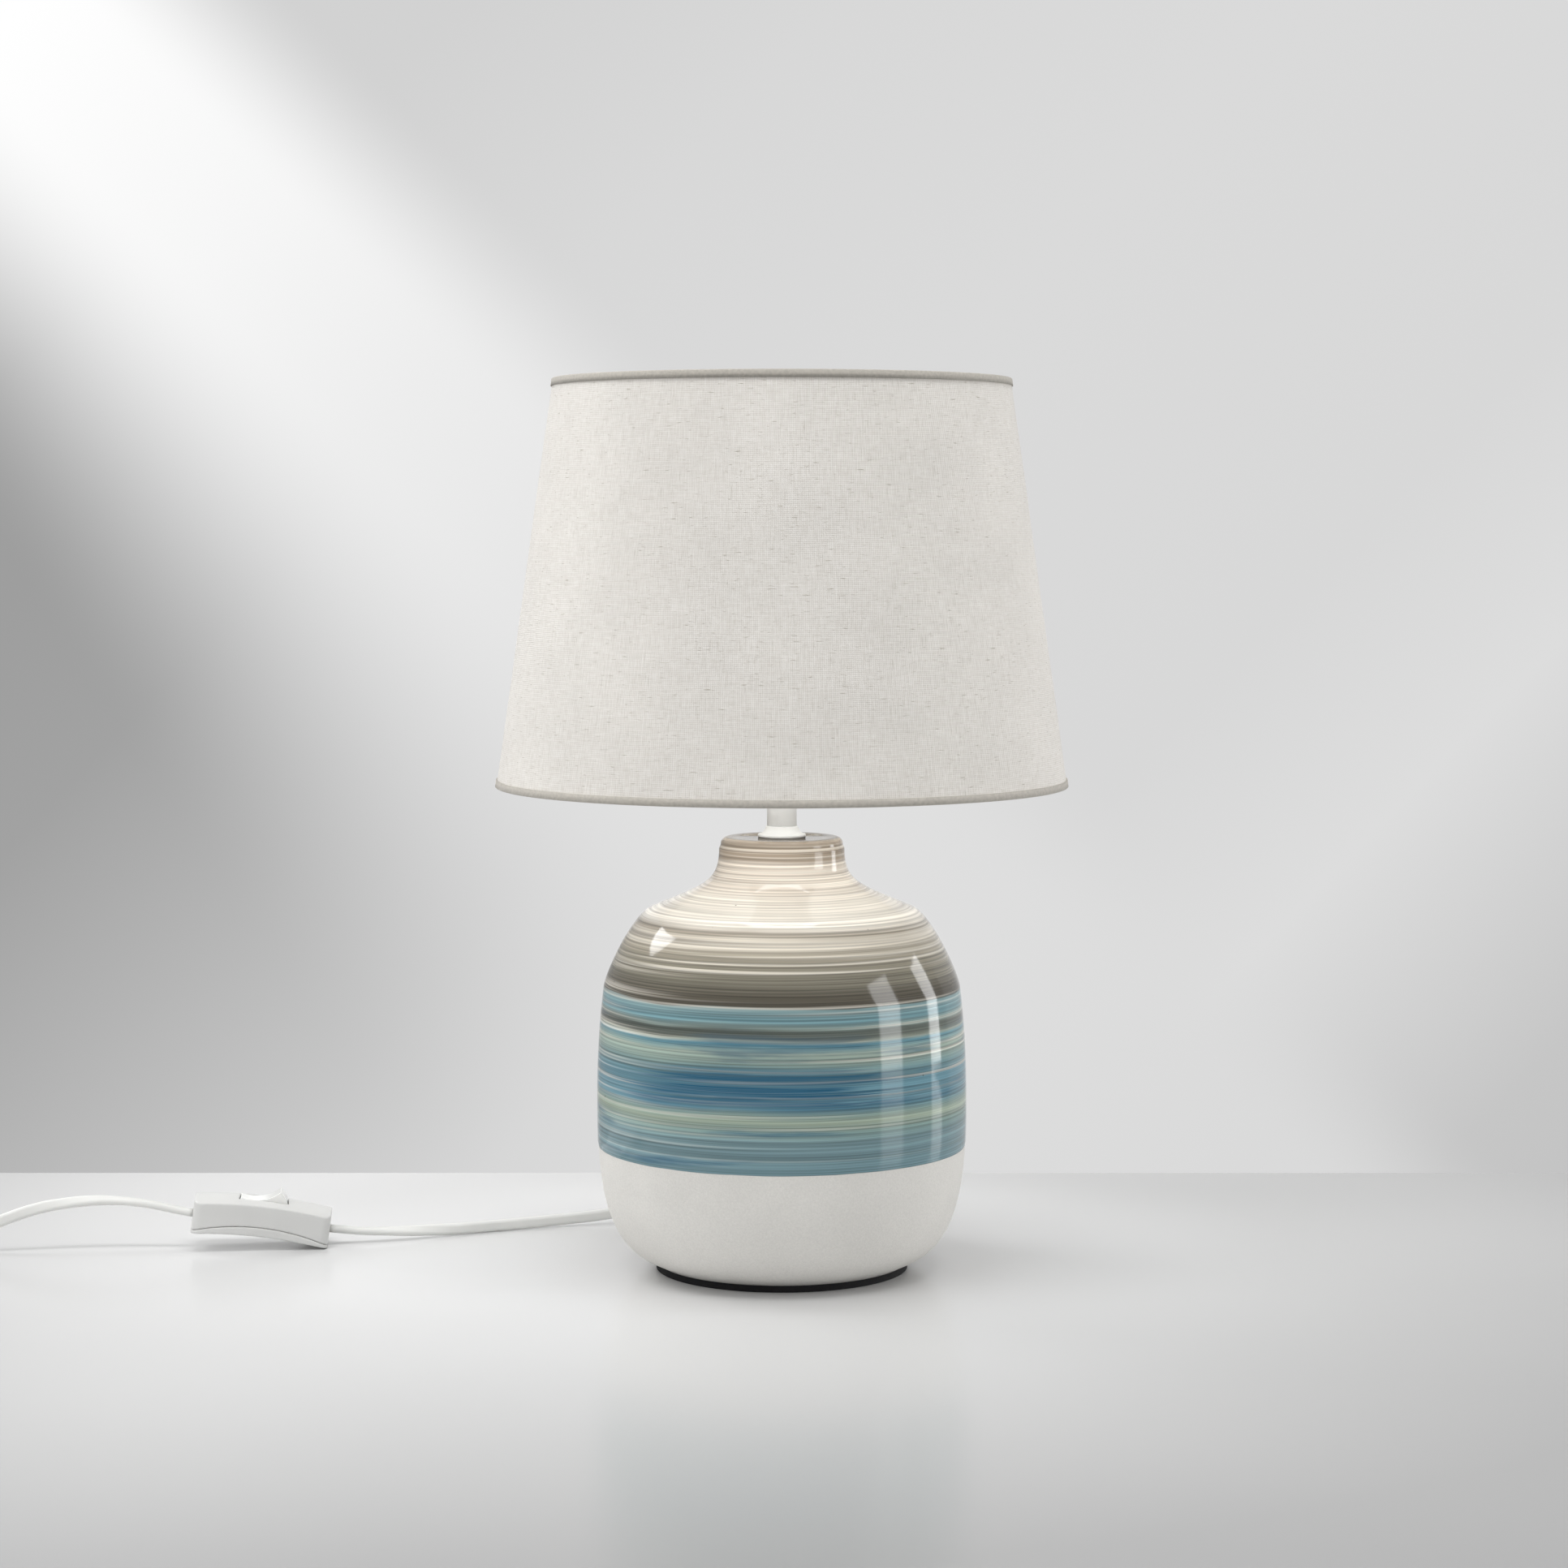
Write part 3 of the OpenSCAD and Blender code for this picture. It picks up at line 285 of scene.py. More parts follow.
def glazed_stoneware():
    """Stoneware thrown on a wheel, banded with a loaded brush as it turned, and dipped in clear
    glaze: streaked level bands under deep gloss, ending in a thin edge over dry sandy clay."""
    sizes, colours = prefs().base, prefs().colours
    made, tree, shader = new_finish("glazed_stoneware", IOR=1.52)
    here = on_object(tree)
    low, high = GLAZE_BANDS[0][0] * MM, GLAZE_BANDS[-1][0] * MM
    # The wheel and the hand let each band wander about a millimetre
    drift = add(tree, MAPPING, {"Vector": here, "Scale": (14, 14, 3)})
    drift = noise_in(tree, drift, 1.0, 2.0)
    axes = add(tree, SPLIT, {0: here})
    wander = maths(tree, "MULTIPLY_ADD", drift, 4.5 * MM, axes.outputs["Z"])
    wander = maths(tree, "SUBTRACT", wander, 2.25 * MM)
    level = remap(tree, wander, low, high)
    bands = ramp(tree, level, [((z * MM - low) / (high - low), c) for z, c in GLAZE_BANDS])
    # Bristle marks: long round the wheel, under a millimetre to a few millimetres high
    marks = []
    for length, height, seed in ((330, 1.0, 1.0), (280, 2.6, 2.0), (170, 0.6, 3.0)):
        round_it, up_it = 1 / (length * MM), 1 / (height * MM)
        lay = add(tree, MAPPING, {"Vector": here, "Scale": (round_it, round_it, up_it)})
        marks.append(noise_in(tree, lay, 1.0, 2.5, seed=seed, roughness=0.6))
    fine, broad, hair = marks
    thin = remap(tree, broad, 0.5, 0.66, 0.0, 0.6, kind="SMOOTHSTEP")
    dry_brush = remap(tree, wander, 64 * MM, 92 * MM, 0.2, 1.0)
    thin = times(tree, thin, dry_brush)
    washed = blend(tree, thin, bands, colours.cream)
    dense = remap(tree, fine, 0.36, 0.62, 0.74, 1.36)
    streak = remap(tree, hair, 0.36, 0.6, 0.74, 1.08)
    depth = times(tree, dense, streak)
    washed = scaled(tree, washed, depth)
    # Deep blue strokes: a loaded brush set down and lifted, with ragged ends
    ragged = maths(tree, "MULTIPLY_ADD", fine, 110 * MM, axes.outputs["X"])
    starts = remap(tree, ragged, -16 * MM, 4 * MM)
    stops = remap(tree, ragged, 84 * MM, 98 * MM, 1.0, 0.0)
    front = remap(tree, axes.outputs["Y"], 5 * MM, 25 * MM, 1.0, 0.0)
    belt = ramp(tree, remap(tree, wander, 84 * MM, 105 * MM), [
        (0.0, 0.0), (0.1, 0.35), (0.17, 0.8), (0.27, 0.75), (0.31, 0.35), (0.38, 0.95),
        (0.53, 1.0), (0.58, 0.35), (0.67, 0.85), (0.78, 0.95), (0.82, 0.4), (0.88, 0.6),
        (0.95, 0.3), (1.0, 0.0)])
    loaded = remap(tree, hair, 0.36, 0.56, 0.3, 1.0)
    stroke = starts
    for part in (stops, belt, loaded, front):
        stroke = times(tree, stroke, part)
    # More of the same blue, laid by chance round the pot's lower half
    lay = add(tree, MAPPING, {"Vector": here, "Scale": (11, 11, 150)})
    chance = noise_in(tree, lay, 1.0, 4.0, seed=7.3)
    chance = remap(tree, chance, 0.55, 0.68, 0.0, 0.62, kind="SMOOTHSTEP")
    under = remap(tree, wander, 108 * MM, 128 * MM, 1.0, 0.0)
    chance = times(tree, chance, under)
    stroke = maths(tree, "MAXIMUM", stroke, chance)
    painted = blend(tree, stroke, washed, colours.blue)
    # Iron specks, half a millimetre across and about two centimetres apart
    spots = add(tree, CELLS, {"Vector": here, "Scale": 1 / (13 * MM)})
    near = remap(tree, spots.outputs["Distance"], 0.02, 0.045, 0.75, 0.0)
    some = maths(tree, "GREATER_THAN", spots.outputs["Color"], 0.62)
    speck = times(tree, near, some)
    painted = blend(tree, speck, painted, linear("#3d3a33"))
    # Dry clay below the glaze: sand grains about half a millimetre across
    sand = noise_in(tree, here, 1 / (0.9 * MM), 5.0, roughness=0.75)
    cloud = noise_in(tree, here, 1 / (26 * MM), 3.0)
    dry = remap(tree, sand, 0.3, 0.7, 0.9, 1.04)
    dry = times(tree, dry, remap(tree, cloud, 0, 1, 0.93, 1.05))
    clay = scaled(tree, tuple(colours.bisque)[:3], dry)
    edge = maths(tree, "MULTIPLY_ADD", cloud, 0.8 * MM, axes.outputs["Z"])
    line = sizes.glaze_z + 0.4 * MM
    glazed = remap(tree, edge, line - 0.15 * MM, line + 0.15 * MM)
    pooled = remap(tree, edge, line, line + 1.1 * MM, 0.72, 1.0)
    painted = scaled(tree, painted, pooled)
    whole = blend(tree, glazed, clay, painted)
    polish = remap(tree, glazed, 0, 1, 0.82, 0.07)
    feed(tree, shader, {"Base Color": whole, "Roughness": polish})
    grit = times(tree, sand, remap(tree, glazed, 0, 1, 0.9, 0.02))
    rings = maths(tree, "MULTIPLY_ADD", broad, 0.12, grit)
    raised(tree, shader, rings, 0.35 * MM, 0.6)
    return made


def linen_weave():
    """Plain-woven linen blend: uneven spun threads both ways, with slubs, matt with a soft
    sheen. The threads are drawn at their own spacing along the cloth."""
    sizes, colours = prefs().shade, prefs().colours
    made, tree, shader = new_finish("linen_weave", Roughness=0.93, Sheen_Weight=0.2,
                                    Sheen_Roughness=0.5, Specular_IOR_Level=0.2)
    cloth = on_cloth(tree)
    axes = add(tree, SPLIT, {0: cloth})
    threads = []
    for across, along, seed in (("X", "Y", 1.0), ("Y", "X", 4.0)):
        # A thread wanders a fifth of its spacing over a few centimetres
        sway = noise_in(tree, cloth, 1 / (35 * MM), 1.0, seed=seed)
        pick = times(tree, axes.outputs[across], 1 / sizes.thread)
        pick = maths(tree, "MULTIPLY_ADD", sway, 2.0, pick)
        wave = maths(tree, "SINE", times(tree, pick, math.pi))
        wave = maths(tree, "ABSOLUTE", wave)
        run = times(tree, axes.outputs[along], 1 / (8 * MM))
        lane = add(tree, JOIN, {"X": pick, "Y": run, "Z": seed})
        spun = noise_in(tree, lane, 1.0, 3.0, roughness=0.7)
        threads.append((wave, spun))
    (warp, warp_spun), (weft, weft_spun) = threads
    relief = times(tree, warp, 0.6)
    relief = maths(tree, "MULTIPLY_ADD", weft, 0.4, relief)
    yarn = times(tree, warp_spun, 0.55)
    yarn = maths(tree, "MULTIPLY_ADD", weft_spun, 0.45, yarn)
    yarn = remap(tree, yarn, 0.34, 0.62)
    # Painted shade: each thread is lighter on its crown and darker into the gaps between threads,
    # mixed with the spun threads' own uneven tone
    tone = times(tree, relief, 0.62)
    tone = maths(tree, "MULTIPLY_ADD", yarn, 0.5, tone)
    weave = blend(tree, tone, colours.linen_dark, colours.linen)
    # Slubs: short grey-beige thickenings, most of them along the weft
    slub = None
    for stretch, seed, dark in (((1 / (5 * MM), 1 / (0.7 * MM), 1), 2.0, 0.75),
                                ((1 / (0.6 * MM), 1 / (9 * MM), 1), 6.0, 0.35)):
        lay = add(tree, MAPPING, {"Vector": cloth, "Scale": stretch})
        lump = noise_in(tree, lay, 1.0, 2.0, seed=seed)
        lump = remap(tree, lump, 0.62, 0.74, 0.0, dark)
        slub = lump if slub is None else maths(tree, "MAXIMUM", lump, slub)
    weave = blend(tree, slub, weave, linear("#a9a192"))
    cloud = noise_in(tree, cloth, 1 / (45 * MM), 5.0)
    cloud = remap(tree, cloud, 0.3, 0.7, 0.95, 1.02)
    weave = scaled(tree, weave, cloud)
    feed(tree, shader, {"Base Color": weave})
    raised(tree, shader, maths(tree, "ADD", relief, slub), 0.22 * MM, 0.5)
    return made


def hem_tape():
    """Narrow cotton twill tape glued round the edge: a greyer band with slanting ribs."""
    made, tree, shader = new_finish("hem_tape", Roughness=0.9, Sheen_Weight=0.15)
    cloth = on_cloth(tree)
    axes = add(tree, SPLIT, {0: cloth})
    slant = maths(tree, "ADD", axes.outputs["X"], axes.outputs["Y"])
    rib = maths(tree, "SINE", times(tree, slant, 2 * math.pi / (0.7 * MM)))
    fibre = noise_in(tree, cloth, 1 / (1.5 * MM), 4.0)
    # Painted shade: the twill ribs also make the tape faintly darker in their grooves, besides
    # their bump
    tone = maths(tree, "MULTIPLY_ADD", rib, 0.05, fibre)
    tone = remap(tree, tone, 0.3, 0.7, 0.84, 1.06)
    tape = scaled(tree, tuple(prefs().colours.tape)[:3], tone)
    feed(tree, shader, {"Base Color": tape})
    raised(tree, shader, rib, 0.08 * MM, 0.5)
    return made


def laminated_liner():
    """White styrene film under the cloth: smooth, faintly printed by the weave behind it."""
    made, tree, shader = new_finish("laminated_liner", Roughness=0.5, IOR=1.55)
    mottled(tree, shader, linear("#f4f3ef"), 40 * MM, 0.04)
    axes = add(tree, SPLIT, {0: on_cloth(tree)})
    waves = [maths(tree, "SINE", times(tree, axes.outputs[axis],
                                       2 * math.pi / (1.7 * MM))) for axis in "XY"]
    print_through = maths(tree, "ADD", waves[1], waves[0])
    raised(tree, shader, print_through, 0.05 * MM, 0.3)
    return made


def powder_coated_steel():
    """Steel with baked white powder coat: satin, with a fine orange-peel ripple."""
    made, tree, shader = new_finish("powder_coated_steel", Roughness=0.38, IOR=1.5)
    place, _ = mottled(tree, shader, linear("#f0f0ee"), 30 * MM, 0.04)
    peel = noise_in(tree, place, 1 / (0.8 * MM), 2.0)
    raised(tree, shader, peel, 0.06 * MM, 0.5)
    return made


def moulded_plastic(name, shade, roughness, grit, depth):
    """A moulded thermoplastic: even colour, with the mould's fine spark-eroded grain. The
    shade is a hex value or the name of one of the scene's colours."""
    made, tree, shader = new_finish(name, Roughness=roughness, IOR=1.52)
    shade = linear(shade) if shade.startswith("#") else getattr(prefs().colours, shade)
    place, _ = mottled(tree, shader, shade, 25 * MM, 0.03)
    grain = noise_in(tree, place, 1 / (grit * MM), 3.0)
    raised(tree, shader, grain, depth * MM, 0.6)
    return made


def flex_pvc():
    """Extruded PVC sleeve of the flat cord: smooth and satin, faintly ribbed by the die."""
    made, tree, shader = new_finish("flex_pvc", Roughness=0.4, IOR=1.53,
                                    Subsurface_Weight=0.05,
                                    Subsurface_Radius=(1.0 * MM, 0.8 * MM, 0.7 * MM))
    place, _ = mottled(tree, shader, prefs().colours.flex, 20 * MM, 0.05)
    lay = noise_in(tree, place, 1 / (3 * MM), 3.0)
    raised(tree, shader, lay, 0.05 * MM, 0.5)
    return made


def rocker_polycarbonate():
    """Polished white polycarbonate: glassy, and lets a little light into itself."""
    made, tree, shader = new_finish("rocker_polycarbonate", Roughness=0.1, IOR=1.58,
                                    Subsurface_Weight=0.2,
                                    Subsurface_Radius=(1.5 * MM, 1.4 * MM, 1.3 * MM))
    mottled(tree, shader, linear("#f6f6f3"), 12 * MM, 0.03)
    return made


def opal_polycarbonate():
    """Frosted opal globe of the bulb: milky, softly glossy."""
    made, tree, shader = new_finish("opal_polycarbonate", Roughness=0.3, IOR=1.58,
                                    Subsurface_Weight=0.25,
                                    Subsurface_Radius=(3 * MM, 3 * MM, 2.5 * MM))
    place, _ = mottled(tree, shader, linear("#f5f4ef"), 30 * MM, 0.03)
    frost = noise_in(tree, place, 1 / (0.5 * MM))
    raised(tree, shader, frost, 0.02 * MM, 0.5)
    return made


def plated_metal(name, shade, roughness, size):
    """A plated metal: near even colour, with roughness that drifts as handling leaves it."""
    made, tree, shader = new_finish(name, Metallic=1.0)
    _, noise = mottled(tree, shader, linear(shade), size * MM, 0.08)
    haze = remap(tree, noise, 0.3, 0.7, roughness * 0.75, roughness * 1.3)
    feed(tree, shader, {"Roughness": haze})
    return made


def solder_mask_board():
    """Fibreglass board under green solder mask: tracks a millimetre or two wide show through."""
    made, tree, shader = new_finish("solder_mask_board", Roughness=0.35)
    place = on_object(tree)
    cells = add(tree, CELLS, {"Vector": place, "Scale": 1 / (2.2 * MM)},
                distance="CHEBYCHEV")
    track = ramp(tree, cells.outputs["Distance"], [(0.0, "#2f8a55"), (0.5, "#1c5f38")])
    feed(tree, shader, {"Base Color": track})
    raised(tree, shader, cells.outputs["Distance"], 0.05 * MM, 0.5)
    return made


def foot_foam():
    """Black EVA foam pad: matt, with open cells about half a millimetre across."""
    made, tree, shader = new_finish("foot_foam", Roughness=0.95)
    place, _ = mottled(tree, shader, linear("#1d1d1f"), 5 * MM, 0.2)
    cells = add(tree, CELLS, {"Vector": place, "Scale": 1 / (0.6 * MM)})
    raised(tree, shader, cells.outputs["Distance"], 0.25 * MM, 0.6)
    return made


def hook_and_loop_strap():
    """Woven nylon strap with a looped face: dark, fuzzy, dull."""
    made, tree, shader = new_finish("hook_and_loop_strap", Roughness=0.95, Sheen_Weight=0.4)
    place, _ = mottled(tree, shader, linear("#35373b"), 2 * MM, 0.25)
    loops = noise_in(tree, place, 1 / (0.8 * MM), 4.0)
    raised(tree, shader, loops, 0.3 * MM, 0.7)
    return made


# Moulded or pressed, by slot: name, colour, roughness, grain in millimetres and its depth
MOULDED = {
    # White PBT of the lamp holder: a little glossy, heat-proof, lightly grained
    "white_plastic": ("holder_pbt", "plastic", 0.34, 0.7, 0.03),
    # Soft PVC of the cord grip and plug: moulded over the cord, satin
    "grip_plastic": ("grip_pvc", "plastic", 0.45, 0.9, 0.03),
    # Satin white ABS of the switch: moulded with a fine spark-eroded grain
    "switch_plastic": ("switch_abs", "#d9d9d7", 0.36, 0.55, 0.03),
    # White bulb housing over its heat sink: dense, faintly glossy plastic
    "bulb_housing": ("bulb_housing_pbt", "#ecebe6", 0.3, 0.8, 0.02),
    # Pressed steatite insert: dense unglazed ceramic, ivory white
    "insert_ceramic": ("steatite", "#e8e2d5", 0.6, 0.5, 0.05),
    # Black glass insulator fused in the bulb's cap: hard gloss
    "bulb_black": ("black_vitrite", "#17151a", 0.1, 2, 0.02),
    # Silicone with yellow phosphor over each LED: matt and grainy
    "led_phosphor": ("led_phosphor", "#e9cf58", 0.55, 0.3, 0.04),
    # Dark nylon sleeves at the plug's pins: smooth, semi-gloss
    "plug_sleeve": ("pin_sleeve_nylon", "#26262a", 0.3, 0.5, 0.02),
    # Brown PVC insulation of the single leads: smooth, slightly glossy
    "copper_lead": ("lead_insulation", "#80512f", 0.35, 0.8, 0.02),
}

# Metals, by slot: name, colour, roughness and the size in millimetres of its drift
METALS = {
    # Nickel-plated brass: warm silver, bright, a little hazed
    "nickel": ("nickel_plate", "#cbc7be", 0.24, 6),
    # Bright zinc on steel: cool grey with a broken spangle
    "zinc_steel": ("zinc_plate", "#b9bdc3", 0.4, 3),
    # Stamped and tumbled brass: yellow, satin
    "brass": ("stamped_brass", "#c8a350", 0.3, 4),
    # Aluminium board with white print: pale satin metal
    "led_aluminium": ("led_board_aluminium", "#d8dadd", 0.35, 5),
}

FINISHES = {
    "foot_foam": foot_foam, "glazed_ceramic": glazed_stoneware,
    "powder_coat": powder_coated_steel, "cord_pvc": flex_pvc,
    "bulb_opal": opal_polycarbonate, "circuit_board": solder_mask_board,
    "shade_fabric": linen_weave, "shade_liner": laminated_liner, "hem_fabric": hem_tape,
    "rocker_plastic": rocker_polycarbonate, "tie_strap": hook_and_loop_strap,
}
made_finishes = {}


def finish_for(slot):
    """The material of a record slot, made once."""
    if slot not in made_finishes:
        if slot in MOULDED:
            made_finishes[slot] = moulded_plastic(*MOULDED[slot])
        elif slot in METALS:
            made_finishes[slot] = plated_metal(*METALS[slot])
        else:
            made_finishes[slot] = FINISHES[slot]()
    return made_finishes[slot]


# ---- making pieces ----

def cad_slot(node):
    """The record slot that a CAD node is packed with."""
    return NODES[node].data.materials[0].name.split(".")[0]


def keep_nodes(*names):
    """CAD nodes whose shape is right get their finish."""
    for name in names:
        node = NODES[name]
        slot = cad_slot(name)
        node.material_slots[0].material = finish_for(slot)


def placed(name, data):
    """A new object in the scene."""
    made = bpy.data.objects.new(name, data)
    bpy.context.scene.collection.objects.link(made)
    return made


def show(name, mesh, body, slot, *replaced):
    """Put a finished mesh in the scene as a piece that rides on a body."""
    piece = placed(name, mesh)
    if not mesh.materials:
        mesh.materials.append(finish_for(slot))
    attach(piece, body)
    if replaced:
        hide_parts(*replaced)
    return piece


def evaluated_mesh(piece):
    """The mesh that a piece's modifiers make; the piece itself is removed."""
    graph = bpy.context.evaluated_depsgraph_get()
    mesh = bpy.data.meshes.new_from_object(piece.evaluated_get(graph),
                                           preserve_all_data_layers=True, depsgraph=graph)
    mesh.name = piece.name
    bpy.data.objects.remove(piece)
    return mesh


def closed(mesh):
    """Merge what meets and point every face outwards."""
    work = bmesh.new()
    work.from_mesh(mesh)
    bmesh.ops.remove_doubles(work, verts=work.verts, dist=1e-6)
    bmesh.ops.dissolve_degenerate(work, edges=work.edges, dist=1e-7)
    bmesh.ops.recalc_face_normals(work, faces=work.faces)
    work.to_mesh(mesh)
    work.free()
    return mesh


def new_tree(name, inputs):
    """A Geometry Nodes tree with a geometry in and out and named inputs."""
    tree = bpy.data.node_groups.new(name, "GeometryNodeTree")
    tree.interface.new_socket("Geometry", in_out="INPUT", socket_type="NodeSocketGeometry")
    ids = {}
    for label, kind in inputs:
        socket = tree.interface.new_socket(label, in_out="INPUT",
                                           socket_type="NodeSocket" + kind)
        ids[label] = socket.identifier
    tree.interface.new_socket("Geometry", in_out="OUTPUT", socket_type="NodeSocketGeometry")
    return tree, tree.nodes.new("NodeGroupInput").outputs, ids


def ended(tree, geometry, material):
    """End a tree in real geometry with its material."""
    real = add(tree, "GeometryNodeRealizeInstances", {0: geometry})
    smooth = add(tree, "GeometryNodeSetShadeSmooth", {"Geometry": real})
    painted = add(tree, "GeometryNodeSetMaterial", {"Geometry": smooth, "Material": material})
    add(tree, "NodeGroupOutput", {0: painted})


def turning_tree():
    """Turns a profile about the upright axis, with the slight wobble of a hand-made form."""
    tree, given, ids = new_tree("turned_form", [
        ("Around", "Int"), ("Wobble", "Float"), ("Seed", "Float"), ("Material", "Material")])
    count = add(tree, "GeometryNodeAttributeDomainSize", {0: given["Geometry"]},
                component="MESH").outputs["Point Count"]
    columns = maths(tree, "ADD", given["Around"], 1.0)
    grid = add(tree, "GeometryNodeMeshGrid", {"Vertices X": columns, "Vertices Y": count})
    index = add(tree, "GeometryNodeInputIndex")
    shifted = maths(tree, "ADD", index, 0.5)
    column = maths(tree, "FLOOR", maths(tree, "DIVIDE", shifted, count))
    row = maths(tree, "SUBTRACT", index, times(tree, column, count))
    profile = add(tree, "GeometryNodeSampleIndex", data_type="FLOAT_VECTOR", domain="POINT")
    feed(tree, profile, {"Geometry": given["Geometry"],
                         "Value": add(tree, "GeometryNodeInputPosition"), "Index": row})
    at = add(tree, SPLIT, {0: profile})
    angle = maths(tree, "DIVIDE", column, given["Around"])
    angle = times(tree, angle, 2 * math.pi)
    cosine = maths(tree, "COSINE", angle)
    sine = maths(tree, "SINE", angle)
    climb = times(tree, at.outputs["Z"], 30.0)
    way = add(tree, JOIN, {"X": cosine, "Y": sine, "Z": climb})
    noise = noise_in(tree, way, 1.3, 2.0, seed=given["Seed"])
    swell = maths(tree, "SUBTRACT", noise, 0.5)
    radius = maths(tree, "MULTIPLY_ADD", swell, given["Wobble"], at.outputs["X"])
    point = add(tree, JOIN, {"X": times(tree, radius, cosine),
                             "Y": times(tree, radius, sine),
                             "Z": at.outputs["Z"]})
    bent = add(tree, "GeometryNodeSetPosition", {0: grid.outputs["Mesh"], "Position": point})
    joined = add(tree, "GeometryNodeMergeByDistance", {"Geometry": bent, "Distance": 1e-6})
    ended(tree, joined, given["Material"])
    return tree, ids


def ring_tree():
    """Sets small blocks round a ring, each facing outwards."""
    tree, given, ids = new_tree("blocks_in_a_ring", [
        ("Count", "Int"), ("Radius", "Float"), ("Height", "Float"), ("Block", "Vector"),
        ("Material", "Material")])
    circle = add(tree, "GeometryNodeMeshCircle",
                 {"Vertices": given["Count"], "Radius": given["Radius"]})
    lift = add(tree, JOIN, {"Z": given["Height"]})
    lifted = add(tree, "GeometryNodeSetPosition", {"Geometry": circle, "Offset": lift})
    block = add(tree, "GeometryNodeMeshCube", {"Size": given["Block"]})
    place = add(tree, SPLIT, {0: add(tree, "GeometryNodeInputPosition")})
    turn = maths(tree, "ARCTAN2", place.outputs["Y"], place.outputs["X"])
    set_out = add(tree, "GeometryNodeInstanceOnPoints", {
        "Points": lifted, "Instance": block.outputs["Mesh"],
        "Rotation": add(tree, JOIN, {"Z": turn})})
    ended(tree, set_out, given["Material"])
    return tree, ids


def from_tree(name, mesh, tree, ids, values):
    """The mesh that a tree makes of a starting mesh with these input values."""
    piece = placed(name, mesh)
    modifier = piece.modifiers.new("form", "NODES")
    modifier.node_group = tree
    for label, value in values.items():
        modifier[ids[label]] = value
    bpy.context.view_layer.update()
    return closed(evaluated_mesh(piece))


def turned(name, profile, slot, around=128, wobble=0.0, seed=1.0):
    """A closed piece turned from a closed profile of (radius, height) points."""
    ring = list(profile) + [profile[0]]
    line = bpy.data.meshes.new(name + "_profile")
    line.from_pydata([(r, 0, z) for r, z in ring], [(i, i + 1) for i in range(len(ring) - 1)],
                     [])
    return from_tree(name, line, *trees["turning"],
                     {"Around": around, "Wobble": wobble, "Seed": seed,
                      "Material": finish_for(slot)})


def blocks_in_a_ring(name, count, radius, height, block, slot):
    """Blocks of one size, set round a ring at a height."""
    return from_tree(name, bpy.data.meshes.new(name), *trees["ring"], {
        "Count": count, "Radius": radius, "Height": height, "Block": block,
        "Material": finish_for(slot)})


def wrap_uv(mesh, radius, slant=1.0):
    """Lay the cloth's own UV map in metres: round the shade across, and along its slant."""
    layer = mesh.uv_layers.new(name="cloth")
    points = mesh.vertices
    for face in mesh.polygons:
        middle = math.atan2(face.center.y, face.center.x)
        for loop in face.loop_indices:
            at = points[mesh.loops[loop].vertex_index].co
            angle = math.atan2(at.y, at.x)
            angle += 2 * math.pi * round((middle - angle) / (2 * math.pi))
            layer.data[loop].uv = (angle * radius, at.z * slant)
    return mesh


def curve_points(start, lead, bend, end, count):
    """Points on one Bezier piece, without its last."""
    made = []
    for i in range(count):
        t = i / count
        weights = ((1 - t) ** 3, 3 * t * (1 - t) ** 2, 3 * t * t * (1 - t), t ** 3)
        made.append(tuple(sum(w * p[k] for w, p in zip(weights, (start, lead, bend, end)))
                          for k in (0, 1)))
    return made


def smooth_line(points, step):
    """A smooth line through the points, stepped evenly, as points with their share of the way."""
    ends = [points[0] * 2 - points[1]] + list(points) + [points[-1] * 2 - points[-2]]
    dense = []
    for i in range(1, len(ends) - 2):
        a, b, c, d = ends[i - 1:i + 3]
        for k in range(12):
            t = k / 12
            dense.append(0.5 * ((2 * b) + (c - a) * t + (2 * a - 5 * b + 4 * c - d) * t * t
                                + (3 * b - a - 3 * c + d) * t ** 3))
    dense.append(points[-1].copy())
    length = sum((q - p).length for p, q in zip(dense, dense[1:]))
    count = max(2, round(length / step))
    made, reached, target = [dense[0]], 0.0, length / count
    for p, q in zip(dense, dense[1:]):
        span = (q - p).length
        while span > 0 and reached + span >= target - 1e-12 and len(made) < count:
            made.append(p.lerp(q, (target - reached) / span))
            target += length / count
        reached += span
    made.append(dense[-1])
    return made, length


def twin_section(width, thickness, steps=7):
    """Outline of a flat twin cord: two round cores side by side, with a groove between."""
    core = thickness / 2
    apart = (width - thickness) / 2
    meet = math.acos(-apart / core)
    outline = []
    for side in (1, -1):
        for i in range(steps):
            angle = meet * (2 * i / (steps - 1) - 1)
            outline.append((side * (apart + core * math.cos(angle)),
                            side * core * math.sin(angle)))
    return [p for i, p in enumerate(outline) if i % steps != steps - 1]


